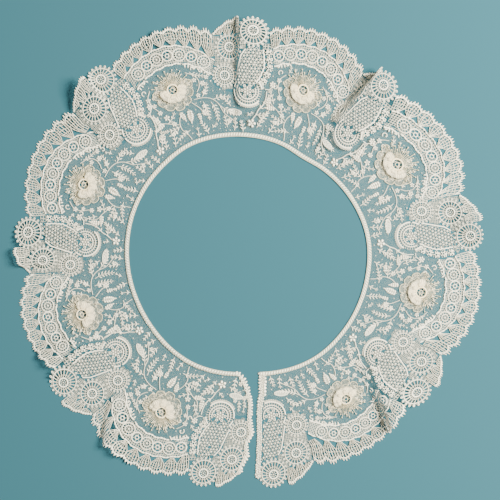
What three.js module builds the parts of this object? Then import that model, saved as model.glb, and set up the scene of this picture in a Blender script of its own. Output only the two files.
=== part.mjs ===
// A needle-lace bertha: a collar of net and worked motifs, laid flat with its front opening
// towards -Y. Millimetres, +Z up, origin on the surface under the middle of its bounding box.
//
// Every piece is a wall over the same cloth. A place on the cloth is a turn in degrees,
// clockwise from the front opening as seen from above, and a nominal radius that runs from
// NECK_RADIUS at the neck to EDGE_RADIUS at the tips of the scallops.
import * as THREE from "three";

// Driving sizes
const NECK_RADIUS = 118;
const EDGE_RADIUS = 236;
const TAPE_WIDTH = 5;
const MEDALLION_TOP = 143; // where the head of a medallion begins
const WHEELS_TOP = 164; // where its wheels begin
const CHAIN_RADIUS = 198; // where the net ends and the ringed border begins
const CORNER_ENDS = { left: 162, right: 146 }; // how far out the net reaches at the two fronts
const CLOTH = 1; // thickness of the worked lace
const SEAM = 0.3; // room between neighbouring pieces
const LEFT_BAND_WIDTH = 3;
const RIGHT_BAND_WIDTH = 5.5;
const NARROWEST = 1; // a panel ends where it would get narrower than this
const MIDDLE = { x: 0.4, y: 3.1 }; // middle of the bounding box, from the middle of the neck

const DEGREE = Math.PI / 180;

// The cut as it lies: the radius of the neck and of the scallop tips, turn by turn.
const LIE = [
  { turn: 5, neck: 117.2, edge: 234.6 },
  { turn: 27, neck: 119.9, edge: 239.3 },
  { turn: 54, neck: 118.1, edge: 238.4 },
  { turn: 68, neck: 117.8, edge: 235.3 },
  { turn: 92, neck: 118.9, edge: 234.2 },
  { turn: 113, neck: 120.4, edge: 236.4 },
  { turn: 138, neck: 121.4, edge: 243 },
  { turn: 153, neck: 122.4, edge: 241 },
  { turn: 179, neck: 117.6, edge: 238.5 },
  { turn: 196, neck: 114.2, edge: 234.2 },
  { turn: 209, neck: 110.2, edge: 231 },
  { turn: 222, neck: 112.2, edge: 229 },
  { turn: 240, neck: 115.3, edge: 233.5 },
  { turn: 261, neck: 118.7, edge: 236 },
  { turn: 281, neck: 118.9, edge: 235 },
  { turn: 307, neck: 120, edge: 230.5 },
  { turn: 328, neck: 120.8, edge: 227.2 },
  { turn: 354, neck: 117.2, edge: 234.5 },
];

// The repeats: each medallion's axis, and the rose that follows it.
const REPEATS = [
  { medallion: 9.6, rose: 28.9 },
  { medallion: 53.4, rose: 70.3 },
  { medallion: 94.2, rose: 113.2 },
  { medallion: 138, rose: 155.4 },
  { medallion: 179.8, rose: 198.5 },
  { medallion: 221.5, rose: 239.6 },
  { medallion: 263.1, rose: 282.2 },
  { medallion: 306.6, rose: 325.8 },
  { medallion: 351.4 },
];

// The folds: the crest's turn at the neck and at the edge, the radius where it starts, its
// height at the edge, its width before and after the crest, how far it leans over clockwise,
// and the width over which the leaning cloth eases back on its gentle side.
const FOLDS = [
  { neck: 177.3, edge: 179.2, start: 105, height: 8, before: 9, after: 32, lean: -3, ease: 32 },
  { neck: 217.2, edge: 221.8, start: 128, height: 15, before: 26, after: 44, lean: -22, ease: 92 },
  { neck: 262, edge: 262, start: 205, height: 8, before: 30, after: 22, lean: 0, ease: 22 },
  { neck: 308, edge: 318, start: 150, height: 12, before: 34, after: 16, lean: 8, ease: 50 },
  { neck: 60.7, edge: 60, start: 180, height: 7, before: 14, after: 30, lean: 3, ease: 14 },
  { neck: 53, edge: 35.6, start: 185, height: 6, before: 30, after: 11, lean: 3, ease: 30 },
  { neck: 88, edge: 89.3, start: 175, height: 6, before: 11, after: 42, lean: -5, ease: 42 },
  { neck: 134, edge: 136.2, start: 165, height: 10, before: 46, after: 13, lean: 4, ease: 46 },
  { neck: 158, edge: 158, start: 195, height: 3, before: 24, after: 14, lean: 0, ease: 24 },
];

// A medallion across its axis, radius by radius: the far side of its three wheels, the seam
// between the wheels and the bell, and the far side of the bell with its band of flowers.
const MEDALLION = [
  { radius: NECK_RADIUS, wheels: 0, bell: 0, band: 0 },
  { radius: MEDALLION_TOP, wheels: 0, bell: 0, band: 0 },
  { radius: 146, wheels: -7, bell: -7, band: 7 },
  { radius: 152, wheels: -12, bell: -12, band: 12 },
  { radius: 162, wheels: -14, bell: -14, band: 15 },
  { radius: WHEELS_TOP, wheels: -23, bell: -14, band: 15 },
  { radius: 170, wheels: -33, bell: -13, band: 18 },
  { radius: 178, wheels: -36, bell: -11, band: 23 },
  { radius: 188, wheels: -33, bell: -8, band: 27 },
  { radius: 198, wheels: -32, bell: -5, band: 27 },
  { radius: 206, wheels: -35, bell: 1, band: 26 },
  { radius: 209, wheels: -35, bell: 11, band: 25 },
  { radius: 212, wheels: -35, bell: 21.5, band: 24 },
  { radius: 218, wheels: -35, bell: 23, band: 23 },
  { radius: EDGE_RADIUS, wheels: -35, bell: 22, band: 22 },
];

// The two front edges: distance across from the middle of the neck, radius by radius.
const LEFT_FRONT = [
  { radius: 118, across: -9.3 },
  { radius: 125, across: -3.6 },
  { radius: 134, across: 0.2 },
  { radius: 149, across: 4 },
  { radius: 167, across: 3.2 },
  { radius: 180, across: 5 },
  { radius: 192, across: -0.6 },
  { radius: 203, across: 0.6 },
  { radius: 215, across: -6.5 },
  { radius: 226, across: -7.4 },
];
const RIGHT_FRONT = [
  { radius: 118, across: 11.1 },
  { radius: 139, across: 11.5 },
  { radius: 158, across: 8.4 },
  { radius: 182, across: 8.7 },
  { radius: 204, across: 7.8 },
  { radius: 220, across: 6.8 },
  { radius: 230, across: 9 },
];

// The lobes between two notches, in nominal radius: at the first notch, the tip and the last
// notch, and how far along the lobe the tip is.
const WHEEL_LOBE = { first: 221, tip: EDGE_RADIUS, last: 224, along: 0.64 };
const BORDER_LOBE = { first: 224, tip: EDGE_RADIUS, last: 221, along: 0.5 };
const LOBE_POWER = 2.1; // over 2 squares the shoulders of a lobe

// Rings of a rose's petals: distance out from its middle, and how far each stands off the net.
const ROSE_RADIUS = 173;
const ROSE_RINGS = [
  { out: 3.5, rise: 1.6 },
  { out: 11, rise: 1.2 },
  { out: 20, rise: 0.4 },
];
const ROSE_PETALS = 6;
const PETAL_DEPTH = 0.09;

// A table read at a place between its rows, with the slope at each row taken from its
// neighbours where `smooth` is asked for, and straight from row to row otherwise.
function read(table, key, column, place, smooth = false) {
  let i = 1;
  while (i < table.length - 1 && table[i][key] < place) i += 1;
  const slope = (a, b) => (table[b][column] - table[a][column]) / (table[b][key] - table[a][key]);
  const step = table[i][key] - table[i - 1][key];
  const t = (place - table[i - 1][key]) / step;
  const [a, b] = [table[i - 1][column], table[i][column]];
  if (!smooth || t < 0 || t > 1) return a + (b - a) * t;
  const startSlope = slope(Math.max(i - 2, 0), i) * step;
  const endSlope = slope(i - 1, Math.min(i + 1, table.length - 1)) * step;
  const rest = 1 - t;
  return (
    rest * rest * (1 + 2 * t) * a +
    t * t * (1 + 2 * rest) * b +
    t * rest * (rest * startSlope - t * endSlope)
  );
}

// A raised cosine: 1 at the middle, 0 from `width` outwards.
const swell = (distance, width) =>
  distance < width ? 0.5 + 0.5 * Math.cos((Math.PI * distance) / width) : 0;

// The cloth itself: where a turn and a nominal radius come to lie.
function lie(turn, radius) {
  const share = (radius - NECK_RADIUS) / (EDGE_RADIUS - NECK_RADIUS);
  const neck = read(LIE, "turn", "neck", turn, true);
  const out = neck + share * (read(LIE, "turn", "edge", turn, true) - neck);
  let height = 0;
  let slide = 0;
  for (const fold of FOLDS) {
    const grown = Math.max(0, (radius - fold.start) / (EDGE_RADIUS - fold.start));
    const beyond = (turn - fold.neck - share * (fold.edge - fold.neck)) * DEGREE * out;
    const steepSide = fold.lean < 0 ? beyond < 0 : beyond > 0;
    const width = beyond < 0 ? fold.before : fold.after;
    height += fold.height * grown * swell(Math.abs(beyond), width);
    slide += fold.lean * grown * swell(Math.abs(beyond), steepSide ? width : fold.ease);
  }
  const angle = turn * DEGREE + slide / out;
  return new THREE.Vector3(-out * Math.sin(angle), -out * Math.cos(angle), height);
}

// A point of the cloth moved out along the cloth's own normal.
function off([turn, radius, extra = 0], rise) {
  const nudge = 0.05;
  const here = lie(turn, radius);
  const along = lie(turn + nudge, radius).sub(lie(turn - nudge, radius));
  const outward = lie(turn, radius + nudge).sub(lie(turn, radius - nudge));
  return here.addScaledVector(along.cross(outward).normalize(), rise + extra);
}

// A wall over rows of cloth points, as thick as the lace, its underside `rise` off the cloth.
// The rows run outwards and their points clockwise; a ring's rows close on themselves.
function wall(rows, rise = 0, ring = false) {
  const count = rows[0].length;
  const position = [rise, rise + CLOTH].flatMap((level) =>
    rows.flatMap((row) => row.flatMap((point) => off(point, level).toArray())),
  );
  const at = (level, i, j) => (level * rows.length + i) * count + (j % count);
  const index = [];
  const quad = (a, b, c, d) => index.push(a, b, c, a, c, d);
  const spans = ring ? count : count - 1;
  for (let j = 0; j < spans; j += 1) {
    for (let i = 0; i < rows.length - 1; i += 1) {
      quad(at(1, i, j), at(1, i, j + 1), at(1, i + 1, j + 1), at(1, i + 1, j));
      quad(at(0, i, j), at(0, i + 1, j), at(0, i + 1, j + 1), at(0, i, j + 1));
    }
    const last = rows.length - 1;
    quad(at(1, 0, j + 1), at(1, 0, j), at(0, 0, j), at(0, 0, j + 1));
    quad(at(1, last, j), at(1, last, j + 1), at(0, last, j + 1), at(0, last, j));
  }
  for (let i = 0; i < rows.length - 1 && !ring; i += 1) {
    quad(at(1, i, 0), at(1, i + 1, 0), at(0, i + 1, 0), at(0, i, 0));
    quad(at(1, i + 1, spans), at(1, i, spans), at(0, i, spans), at(0, i + 1, spans));
  }
  const geometry = new THREE.BufferGeometry();
  geometry.setAttribute("position", new THREE.Float32BufferAttribute(position, 3));
  geometry.setIndex(index);
  geometry.computeVertexNormals();
  return geometry;
}

// The turn of a medallion's edge at a radius, half a seam to one side of it.
function medallionTurn(number, column, radius, side) {
  const nudge = 0.5;
  const width = (at) => read(MEDALLION, "radius", column, at);
  const steps = [nudge, -nudge].map((step) => Math.abs(width(radius + step) - width(radius)));
  const slope = Math.max(...steps) / nudge;
  const across = width(radius) + side * (SEAM / 2) * Math.hypot(1, slope);
  return REPEATS[number].medallion + across / (radius * DEGREE);
}

// The turn of a front edge at a radius, `inside` it by a distance.
function frontTurn(table, radius, inside) {
  const across = read(table, "radius", "across", radius) + inside;
  const turn = -Math.asin(across / radius) / DEGREE;
  return table === RIGHT_FRONT ? 360 + turn : turn;
}

// The first and last turns of the cloth that is left between its two front bands.
const afterLeftBand = (radius) => frontTurn(LEFT_FRONT, radius, -LEFT_BAND_WIDTH - SEAM);
const beforeRightBand = (radius) => frontTurn(RIGHT_FRONT, radius, RIGHT_BAND_WIDTH + SEAM);
const inside = (turn, radius) =>
  Math.min(Math.max(turn, afterLeftBand(radius)), beforeRightBand(radius));

// The nominal radius of a lobe's edge at a share of its width.
function lobe({ first, tip, last, along }, share) {
  const near = share < along;
  const away = near ? (along - share) / along : (share - along) / (1 - along);
  return tip - (tip - (near ? first : last)) * away ** LOBE_POWER;
}

// A panel's rows: at each radius, points from its first edge to its last, spaced by `share`.
// A lobe, where there is one, makes the row beyond the last radius.
function panel(radii, columns, firstTurn, lastTurn, { share = (s) => s, edge } = {}) {
  const across = (firstRadius, lastRadius) => {
    const from = inside(firstTurn(firstRadius), firstRadius);
    const to = inside(lastTurn(lastRadius), lastRadius);
    return Array.from({ length: columns + 1 }, (_, j) => {
      const s = share(j / columns);
      return [from + (to - from) * s, firstRadius === lastRadius ? firstRadius : lobe(edge, s)];
    });
  };
  const rows = radii
    .map((radius) => across(radius, radius))
    .filter((row) => (row.at(-1)[0] - row[0][0]) * DEGREE * NECK_RADIUS > NARROWEST);
  return edge ? [...rows, across(edge.first, edge.last)] : rows;
}

// Points closer together at both ends of a row, where the folds are.
const crowded = (s) => s + 0.6 * ((1 - Math.cos(Math.PI * s)) / 2 - s);

const GROUND_COLUMNS = 6;
const BORDER_COLUMNS = 8;
const BELL_COLUMNS = 4;
const WHEEL_COLUMNS = 6;
const HEAD_RADII = [146, 152, 162, WHEELS_TOP];
const BODY_RADII = [170, 178, 188];
const BAND_RADII = [206, 209, 212];
const SHOULDER_RADIUS = 218;

const bertha = new THREE.Group();
bertha.position.set(-MIDDLE.x, -MIDDLE.y, 0);

function add(name, geometry, color, roughness) {
  const material = new THREE.MeshStandardMaterial({ color, roughness, metalness: 0 });
  const mesh = new THREE.Mesh(geometry, material);
  mesh.name = name;
  bertha.add(mesh);
}

// Net ground: between two medallions, and the two corners at the front.
const groundStart = NECK_RADIUS + TAPE_WIDTH + SEAM;
const groundRadii = [groundStart, MEDALLION_TOP, ...HEAD_RADII, ...BODY_RADII, CHAIN_RADIUS - SEAM / 2];
for (let number = 0; number <= REPEATS.length; number += 1) {
  const first = number === 0;
  const last = number === REPEATS.length;
  const from = (radius) =>
    first ? afterLeftBand(radius) : medallionTurn(number - 1, "band", radius, 1);
  const to = (radius) =>
    last ? beforeRightBand(radius) : medallionTurn(number, "wheels", radius, -1);
  const end = (first && CORNER_ENDS.left) || (last && CORNER_ENDS.right) || EDGE_RADIUS;
  const radii = groundRadii.filter((radius) => radius <= end);
  const columns = first || last ? 2 : GROUND_COLUMNS;
  const rows = panel(radii, columns, from, to, { share: crowded });
  add(`ground_${number}`, wall(rows), 0xc9cdbf, 0.9);
}

// Scalloped border: the ringed chain and the shell fans, one lobe to a repeat.
for (let number = 1; number < REPEATS.length; number += 1) {
  const rows = panel(
    [CHAIN_RADIUS + SEAM / 2, BAND_RADII[0], BAND_RADII[2], SHOULDER_RADIUS],
    BORDER_COLUMNS,
    (radius) => medallionTurn(number - 1, "band", radius, 1),
    (radius) => medallionTurn(number, "wheels", radius, -1),
    { edge: BORDER_LOBE },
  );
  add(`border_${number}`, wall(rows), 0xe6e0d0, 0.85);
}

// Medallions: the bell with its flower band, and the three wheels beside and below it.
REPEATS.forEach((_, number) => {
  const bell = panel(
    [MEDALLION_TOP + 3 * SEAM, ...HEAD_RADII, ...BODY_RADII, CHAIN_RADIUS, ...BAND_RADII],
    BELL_COLUMNS,
    (radius) => medallionTurn(number, "bell", radius, 1),
    (radius) => medallionTurn(number, "band", radius, -1),
  );
  add(`bell_${number + 1}`, wall(bell), 0xe3ddcc, 0.85);
  const wheels = panel(
    [WHEELS_TOP + SEAM, ...BODY_RADII, CHAIN_RADIUS, ...BAND_RADII, SHOULDER_RADIUS],
    WHEEL_COLUMNS,
    (radius) => medallionTurn(number, "wheels", radius, 1),
    (radius) => medallionTurn(number, "bell", radius, -1),
    { edge: WHEEL_LOBE },
  );
  add(`wheels_${number + 1}`, wall(wheels), 0xe9e4d6, 0.85);
});

// Raised roses, laid on the net: rings of petals round an open middle, loose at the rim.
REPEATS.filter(({ rose }) => rose).forEach(({ rose }, number) => {
  const steps = 2 * ROSE_PETALS;
  const rings = ROSE_RINGS.map(({ out, rise }) =>
    Array.from({ length: steps }, (_, j) => {
      const angle = (2 * Math.PI * j) / steps;
      const reach = out * (1 + PETAL_DEPTH * Math.cos(ROSE_PETALS * angle));
      const turn = rose - (reach * Math.sin(angle)) / (ROSE_RADIUS * DEGREE);
      return [turn, ROSE_RADIUS - reach * Math.cos(angle), rise];
    }),
  );
  add(`rose_${number + 1}`, wall(rings, CLOTH + SEAM, true), 0xefe6d2, 0.8);
});

// Neck tape: its points stand opposite the ground's own, so that the two edges stay parallel.
const tapeTurns = REPEATS.slice(1).flatMap(({ medallion }, number) => {
  const from = REPEATS[number].medallion;
  return Array.from({ length: GROUND_COLUMNS }, (_, j) =>
    from + (medallion - from) * crowded(j / GROUND_COLUMNS));
});
const tape = [NECK_RADIUS, NECK_RADIUS + TAPE_WIDTH].map((radius) =>
  [
    frontTurn(LEFT_FRONT, NECK_RADIUS, -SEAM),
    ...tapeTurns,
    REPEATS.at(-1).medallion,
    frontTurn(RIGHT_FRONT, NECK_RADIUS, SEAM),
  ].map((turn) => [turn, radius]),
);
add("neck_tape", wall(tape), 0xeee4cc, 0.75);

// Front bands: a looped edging on the left, a straight braid over the cut edge on the right.
function band(table, width, radii) {
  return radii.map((radius) =>
    [0, width].map((inset) => [frontTurn(table, radius, inset), radius]).sort((a, b) => a[0] - b[0]),
  );
}
const bandRadii = [...groundRadii.slice(0, -1), CHAIN_RADIUS, ...BAND_RADII, SHOULDER_RADIUS];
const leftBand = band(LEFT_FRONT, -LEFT_BAND_WIDTH, [...bandRadii, WHEEL_LOBE.first]);
const rightBand = band(RIGHT_FRONT, RIGHT_BAND_WIDTH, [...bandRadii, WHEEL_LOBE.last]);
add("front_band_left", wall(leftBand), 0xe6dfce, 0.85);
add("front_band_right", wall(rightBand), 0xebe2cd, 0.8);

const part = new THREE.Group();
part.add(bertha);
export default part;
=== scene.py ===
import bpy
import numpy as np
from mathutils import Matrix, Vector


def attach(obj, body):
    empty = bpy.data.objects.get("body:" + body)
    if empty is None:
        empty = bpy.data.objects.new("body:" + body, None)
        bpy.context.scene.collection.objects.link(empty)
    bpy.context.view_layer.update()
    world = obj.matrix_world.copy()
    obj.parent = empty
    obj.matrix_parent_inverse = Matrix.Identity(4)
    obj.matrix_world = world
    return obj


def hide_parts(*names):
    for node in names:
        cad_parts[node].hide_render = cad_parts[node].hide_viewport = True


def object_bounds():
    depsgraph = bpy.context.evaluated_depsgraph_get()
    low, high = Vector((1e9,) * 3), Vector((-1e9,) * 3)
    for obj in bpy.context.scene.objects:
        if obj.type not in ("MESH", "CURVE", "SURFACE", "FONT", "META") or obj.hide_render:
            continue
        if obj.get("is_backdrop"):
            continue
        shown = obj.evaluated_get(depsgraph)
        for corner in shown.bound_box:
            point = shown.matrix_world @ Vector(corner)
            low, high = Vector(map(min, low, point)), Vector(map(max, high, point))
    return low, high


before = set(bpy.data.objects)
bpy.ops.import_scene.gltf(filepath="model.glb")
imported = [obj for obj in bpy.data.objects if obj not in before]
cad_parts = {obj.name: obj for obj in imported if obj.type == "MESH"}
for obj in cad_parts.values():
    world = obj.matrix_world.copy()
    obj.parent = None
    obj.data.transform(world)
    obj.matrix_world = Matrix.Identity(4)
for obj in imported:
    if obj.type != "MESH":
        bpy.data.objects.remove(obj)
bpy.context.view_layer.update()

# --- Neck tape -------------------------------------------------------------------------------
# A woven cotton tape, 5 mm wide, that the neck edge of the net is oversewn to. It is the one
# firm line of the collar, and the bodice of the dress is stitched to it. The whole collar is
# drawn flat here, in millimetres, as it was worked, and then laid down with its folds.

MM = 0.001
NECK_RADIUS = 118.0
EDGE_RADIUS = 236.0  # at the tips of the scallops
TAPE_WIDTH = 5.0
SEAM = 0.3
MIDDLE = np.array([0.4, 3.1, 0.0])

# How the cut lies, turn by turn in degrees clockwise from the front opening: the radius of the
# neck and of the scallop tips.
LIE = np.array([
    (5, 117.2, 234.6), (27, 119.9, 239.3), (54, 118.1, 238.4), (68, 117.8, 235.3),
    (92, 118.9, 234.2), (113, 120.4, 236.4), (138, 121.4, 243), (153, 122.4, 241),
    (179, 117.6, 238.5), (196, 114.2, 234.2), (209, 110.2, 231), (222, 112.2, 229),
    (240, 115.3, 233.5), (261, 118.7, 236), (281, 118.9, 235), (307, 120, 230.5),
    (328, 120.8, 227.2), (354, 117.2, 234.5),
])

# The folds: the crest's turn at the neck and at the edge, the radius where it starts, its
# height at the edge, its width before and after the crest, how far it leans over clockwise,
# and the width over which the leaning cloth eases back on its gentle side.
FOLDS = [
    (177.3, 179.2, 105, 8, 9, 32, -3, 32),
    (217.2, 221.8, 128, 15, 26, 44, -22, 92),
    (262, 262, 205, 8, 30, 22, 0, 22),
    (308, 318, 150, 12, 34, 16, 8, 50),
    (60.7, 60, 180, 7, 14, 30, 3, 14),
    (53, 35.6, 185, 6, 30, 11, 3, 30),
    (88, 89.3, 175, 6, 11, 42, -5, 42),
    (134, 136.2, 165, 10, 46, 13, 4, 46),
    (158, 158, 195, 3, 24, 14, 0, 24),
]

# The two front edges: distance across from the middle of the neck, radius by radius.
LEFT_FRONT = np.array([
    (118, -9.3), (125, -3.6), (134, 0.2), (149, 4), (167, 3.2), (180, 5), (192, -0.6),
    (203, 0.6), (215, -6.5), (226, -7.4),
])
RIGHT_FRONT = np.array([
    (118, 11.1), (139, 11.5), (158, 8.4), (182, 8.7), (204, 7.8), (220, 6.8), (230, 9),
])


def drawn_smooth(turn, column):
    """A column of LIE at any turn: from row to row a cubic whose slope at each row is that of
    the line between the rows on either side, and a straight line beyond the first and last."""
    turns, values = LIE[:, 0], LIE[:, column]
    last = len(turns) - 1
    i = np.clip(np.searchsorted(turns, turn), 1, last)
    step = turns[i] - turns[i - 1]
    t = (turn - turns[i - 1]) / step
    a, b = values[i - 1], values[i]

    def slope(low, high):
        return (values[high] - values[low]) / (turns[high] - turns[low]) * step

    start, end = slope(np.maximum(i - 2, 0), i), slope(i - 1, np.minimum(i + 1, last))
    rest = 1 - t
    cubic = rest * rest * (1 + 2 * t) * a + t * t * (1 + 2 * rest) * b
    cubic += t * rest * (rest * start - t * end)
    return np.where((t < 0) | (t > 1), a + (b - a) * t, cubic)


def swell(distance, width):
    """A raised cosine: 1 at the middle, falling to 0 at `width` and beyond."""
    return np.where(distance < width, 0.5 + 0.5 * np.cos(np.pi * distance / width), 0.0)


def lie(turn, radius):
    """Where a turn and a radius of the flat cut come to lie: out from the neck by their share
    of the cut's depth, lifted by each fold's swell, and slid sideways where a fold leans."""
    share = (radius - NECK_RADIUS) / (EDGE_RADIUS - NECK_RADIUS)
    neck = drawn_smooth(turn, 1)
    out = neck + share * (drawn_smooth(turn, 2) - neck)
    height, slide = np.zeros_like(out), np.zeros_like(out)
    for crest, crest_end, start, high, before, after, lean, ease in FOLDS:
        grown = np.maximum(0, (radius - start) / (EDGE_RADIUS - start))
        beyond = np.radians(turn - crest - share * (crest_end - crest)) * out
        steep = beyond < 0 if lean < 0 else beyond > 0
        width = np.where(beyond < 0, before, after)
        height += high * grown * swell(np.abs(beyond), width)
        slide += lean * grown * swell(np.abs(beyond), np.where(steep, width, ease))
    angle = np.radians(turn) + slide / out
    return np.stack([-out * np.sin(angle), -out * np.cos(angle), height], axis=-1)


def place_on_cut(axis, flat):
    """The turn and the radius of flat points, whose first number runs clockwise from the line
    of the turn `axis` and whose second runs out from the middle of the neck."""
    turn = axis + np.degrees(np.arctan2(flat[..., 0], flat[..., 1]))
    return turn, np.hypot(flat[..., 0], flat[..., 1])


def lay(axis, points):
    """Flat points, with their height over the cloth, laid down in metres: the place on the
    cloth, moved out by the height along the cross product of the cloth's two directions."""
    turn, radius = place_on_cut(axis, points)
    nudge = 0.05  # degrees and millimetres
    along = lie(turn + nudge, radius) - lie(turn - nudge, radius)
    outward = lie(turn, radius + nudge) - lie(turn, radius - nudge)
    normal = np.cross(along, outward)
    normal /= np.linalg.norm(normal, axis=-1, keepdims=True)
    return (lie(turn, radius) + normal * points[:, 2:] - MIDDLE) * MM


def toward(heading):
    """The flat direction of a heading in degrees: 0 is outwards and 90 is clockwise."""
    angle = np.radians(heading)
    return np.stack([np.sin(angle), np.cos(angle)], axis=-1)


def raised(flat, height):
    """Flat points with a height over the cloth."""
    high = np.broadcast_to(np.asarray(height, float)[..., None], flat.shape[:-1] + (1,))
    return np.concatenate([flat, high], axis=-1)


def sleeve(sections):
    """A closed skin over sections (steps, corners, 3) carried along a path: a four-cornered
    face from each side of a section to the next one's, and a face over each end."""
    steps, corners = sections.shape[:2]
    at = np.arange(steps * corners).reshape(steps, corners)
    beside = np.roll(at, -1, axis=1)
    sides = np.stack([at[:-1], at[1:], beside[1:], beside[:-1]], axis=-1).reshape(-1, 4)
    return sections.reshape(-1, 3), [sides, np.stack([at[0], at[-1, ::-1]])]


def joined(works):
    """Several works as one. A work is its points, its lists of faces and how closely it is
    worked, from 0 for open net to 1 for solid cloth, once or for each point; lower values
    take more painted shade."""
    points = np.concatenate([work[0] for work in works])
    close = np.concatenate([np.broadcast_to(work[2], len(work[0])) for work in works])
    starts = np.cumsum([0] + [len(work[0]) for work in works[:-1]])
    faces = [part + start for work, start in zip(works, starts) for part in work[1]]
    return points, faces, close


def stand(name, data):
    """An object in the scene, made of a mesh, a light or a camera."""
    made = bpy.data.objects.new(name, data)
    bpy.context.scene.collection.objects.link(made)
    return made


def make_piece(name, axis, works):
    """One mesh of many works. The cotton reads from `close` how closely each is worked, and paints
    shade where it is low.
    """
    points, faces, close = joined(works)
    corners = np.concatenate([part.ravel() for part in faces])
    sizes = np.concatenate([np.full(len(part), part.shape[1]) for part in faces])
    used, corners = np.unique(corners, return_inverse=True)
    laid = lay(axis, points[used])

    mesh = bpy.data.meshes.new(name)
    mesh.vertices.add(len(laid))
    mesh.vertices.foreach_set("co", laid.ravel())
    mesh.loops.add(len(corners))
    mesh.loops.foreach_set("vertex_index", corners.astype(np.int32))
    mesh.polygons.add(len(sizes))
    mesh.polygons.foreach_set("loop_start", (np.cumsum(sizes) - sizes).astype(np.int32))
    mesh.update(calc_edges=True)
    mesh.shade_smooth()
    mesh.attributes.new("close", "FLOAT", "POINT").data.foreach_set("value", close[used])
    low, high = laid.min(axis=0), laid.max(axis=0)
    plan = (laid[:, :2] - low[:2]) / (high[:2] - low[:2]).max()
    mesh.uv_layers.new(name="OFBake").data.foreach_set("uv", plan[corners].ravel())
    return stand(name, mesh)


# The numbers of sockets whose names don't tell them apart.
OBJECT_PLACE, ATTRIBUTE_VALUE, MIXED_COLOUR = 3, 2, 2
COLOUR_FROM, COLOUR_TO = 6, 7


class Field:
    """One socket of a material's nodes, so that shader maths reads as plain arithmetic."""

    def __init__(self, tree, socket=None):
        self.tree, self.socket = tree, socket

    def node(self, kind, settings=(), sockets=(), output=0):
        """A new node of a kind: its settings first, then a value or a link for each socket."""
        made = self.tree.nodes.new(kind)
        for name, value in dict(settings).items():
            setattr(made, name, value)
        for name, value in dict(sockets).items():
            if isinstance(value, Field):
                self.tree.links.new(value.socket, made.inputs[name])
            else:
                made.inputs[name].default_value = value
        return Field(self.tree, made.outputs[output])

    def maths(self, operation, first, second):
        return self.node("ShaderNodeMath", {"operation": operation}, {0: first, 1: second})

    def __add__(self, other):
        return self.maths("ADD", self, other)

    def __sub__(self, other):
        return self.maths("SUBTRACT", self, other)

    def __rsub__(self, other):
        return self.maths("SUBTRACT", other, self)

    def __mul__(self, other):
        return self.maths("MULTIPLY", self, other)

    __radd__ = __add__
    __rmul__ = __mul__

    def blend(self, low, high):
        """From one colour to another as this value goes from 0 to 1."""
        sockets = {"Factor": self, COLOUR_FROM: low, COLOUR_TO: high}
        return self.node("ShaderNodeMix", {"data_type": "RGBA"}, sockets, output=MIXED_COLOUR)


PATCHES = 90  # in a metre, where the tone of old cotton changes
PATCH_TONE, LUMP_TONE = 0.22, 0.3
ROUGH_LOW, ROUGH_RANGE = 0.78, 0.16


def cotton(name, open_painted_shade, solid_work, lumps_mm=0.5, lump_depth_mm=0.2):
    """Old white cotton thread: a little uneven in tone, lumpy with the thread's own twist and
    knots, and given painted shade, darker and greyer, where it is worked open, and its own cream
    where it is solid."""
    material = bpy.data.materials.new(name)
    material.use_nodes = True
    nodes = Field(material.node_tree)
    shader = material.node_tree.nodes["Principled BSDF"]
    place = nodes.node("ShaderNodeTexCoord", output=OBJECT_PLACE)
    patches = nodes.node(
        "ShaderNodeTexNoise", sockets={"Vector": place, "Scale": PATCHES, "Detail": 3}
    )
    knots = nodes.node(
        "ShaderNodeTexNoise",
        sockets={"Vector": place, "Scale": 1 / (lumps_mm * MM), "Detail": 2, "Roughness": 0.6},
    )
    close = nodes.node("ShaderNodeAttribute", {"attribute_name": "close"}, output=ATTRIBUTE_VALUE)
    # painted shade: a low `close` blends the colour towards the darker open colour, standing in for
    # the shade in open lace
    shade = (patches - 0.5) * PATCH_TONE + (knots - 0.5) * LUMP_TONE + close
    tone = nodes.node("ShaderNodeClamp", sockets={"Value": shade}).blend(open_painted_shade, solid_work)
    rough = ROUGH_LOW + patches * ROUGH_RANGE
    bumps = nodes.node(
        "ShaderNodeBump",
        sockets={"Height": knots, "Distance": lump_depth_mm * MM, "Strength": 0.8},
    )
    links = material.node_tree.links
    links.new(tone.socket, shader.inputs["Base Color"])
    links.new(rough.socket, shader.inputs["Roughness"])
    links.new(bumps.socket, shader.inputs["Normal"])
    shader.inputs["Specular IOR Level"].default_value = 0.25
    shader.inputs["Sheen Weight"].default_value = 0.15
    return material


def sew_on(made, node, material, cut=None):
    """A finished piece takes its CAD panel's place in the one body, with its finish. A cut, where
    one is given, is a width and a length in millimetres with a flat area; it is turned into
    metres and not used further."""
    made.data.materials.append(material)
    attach(made, "root")
    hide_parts(node)
    if cut is None:
        return
    width, length, area = cut
    width * MM
    length * MM
    area * MM * MM


def front_line(table, radius):
    """The distance across to a front edge at any radius, straight from row to row."""
    return np.interp(radius, table[:, 0], table[:, 1])


def front_turn(table, radius, inset):
    """The turn of a front edge at a radius, `inset` to one side: minus the angle whose sine is
    the distance across over the radius, and a whole turn more on the right-hand side."""
    across = front_line(table, radius) + inset
    return -np.degrees(np.arcsin(across / radius)) + (360 if table is RIGHT_FRONT else 0)


THREAD_LOW = 0.25  # how high over the cloth a thread's underside lies


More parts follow.
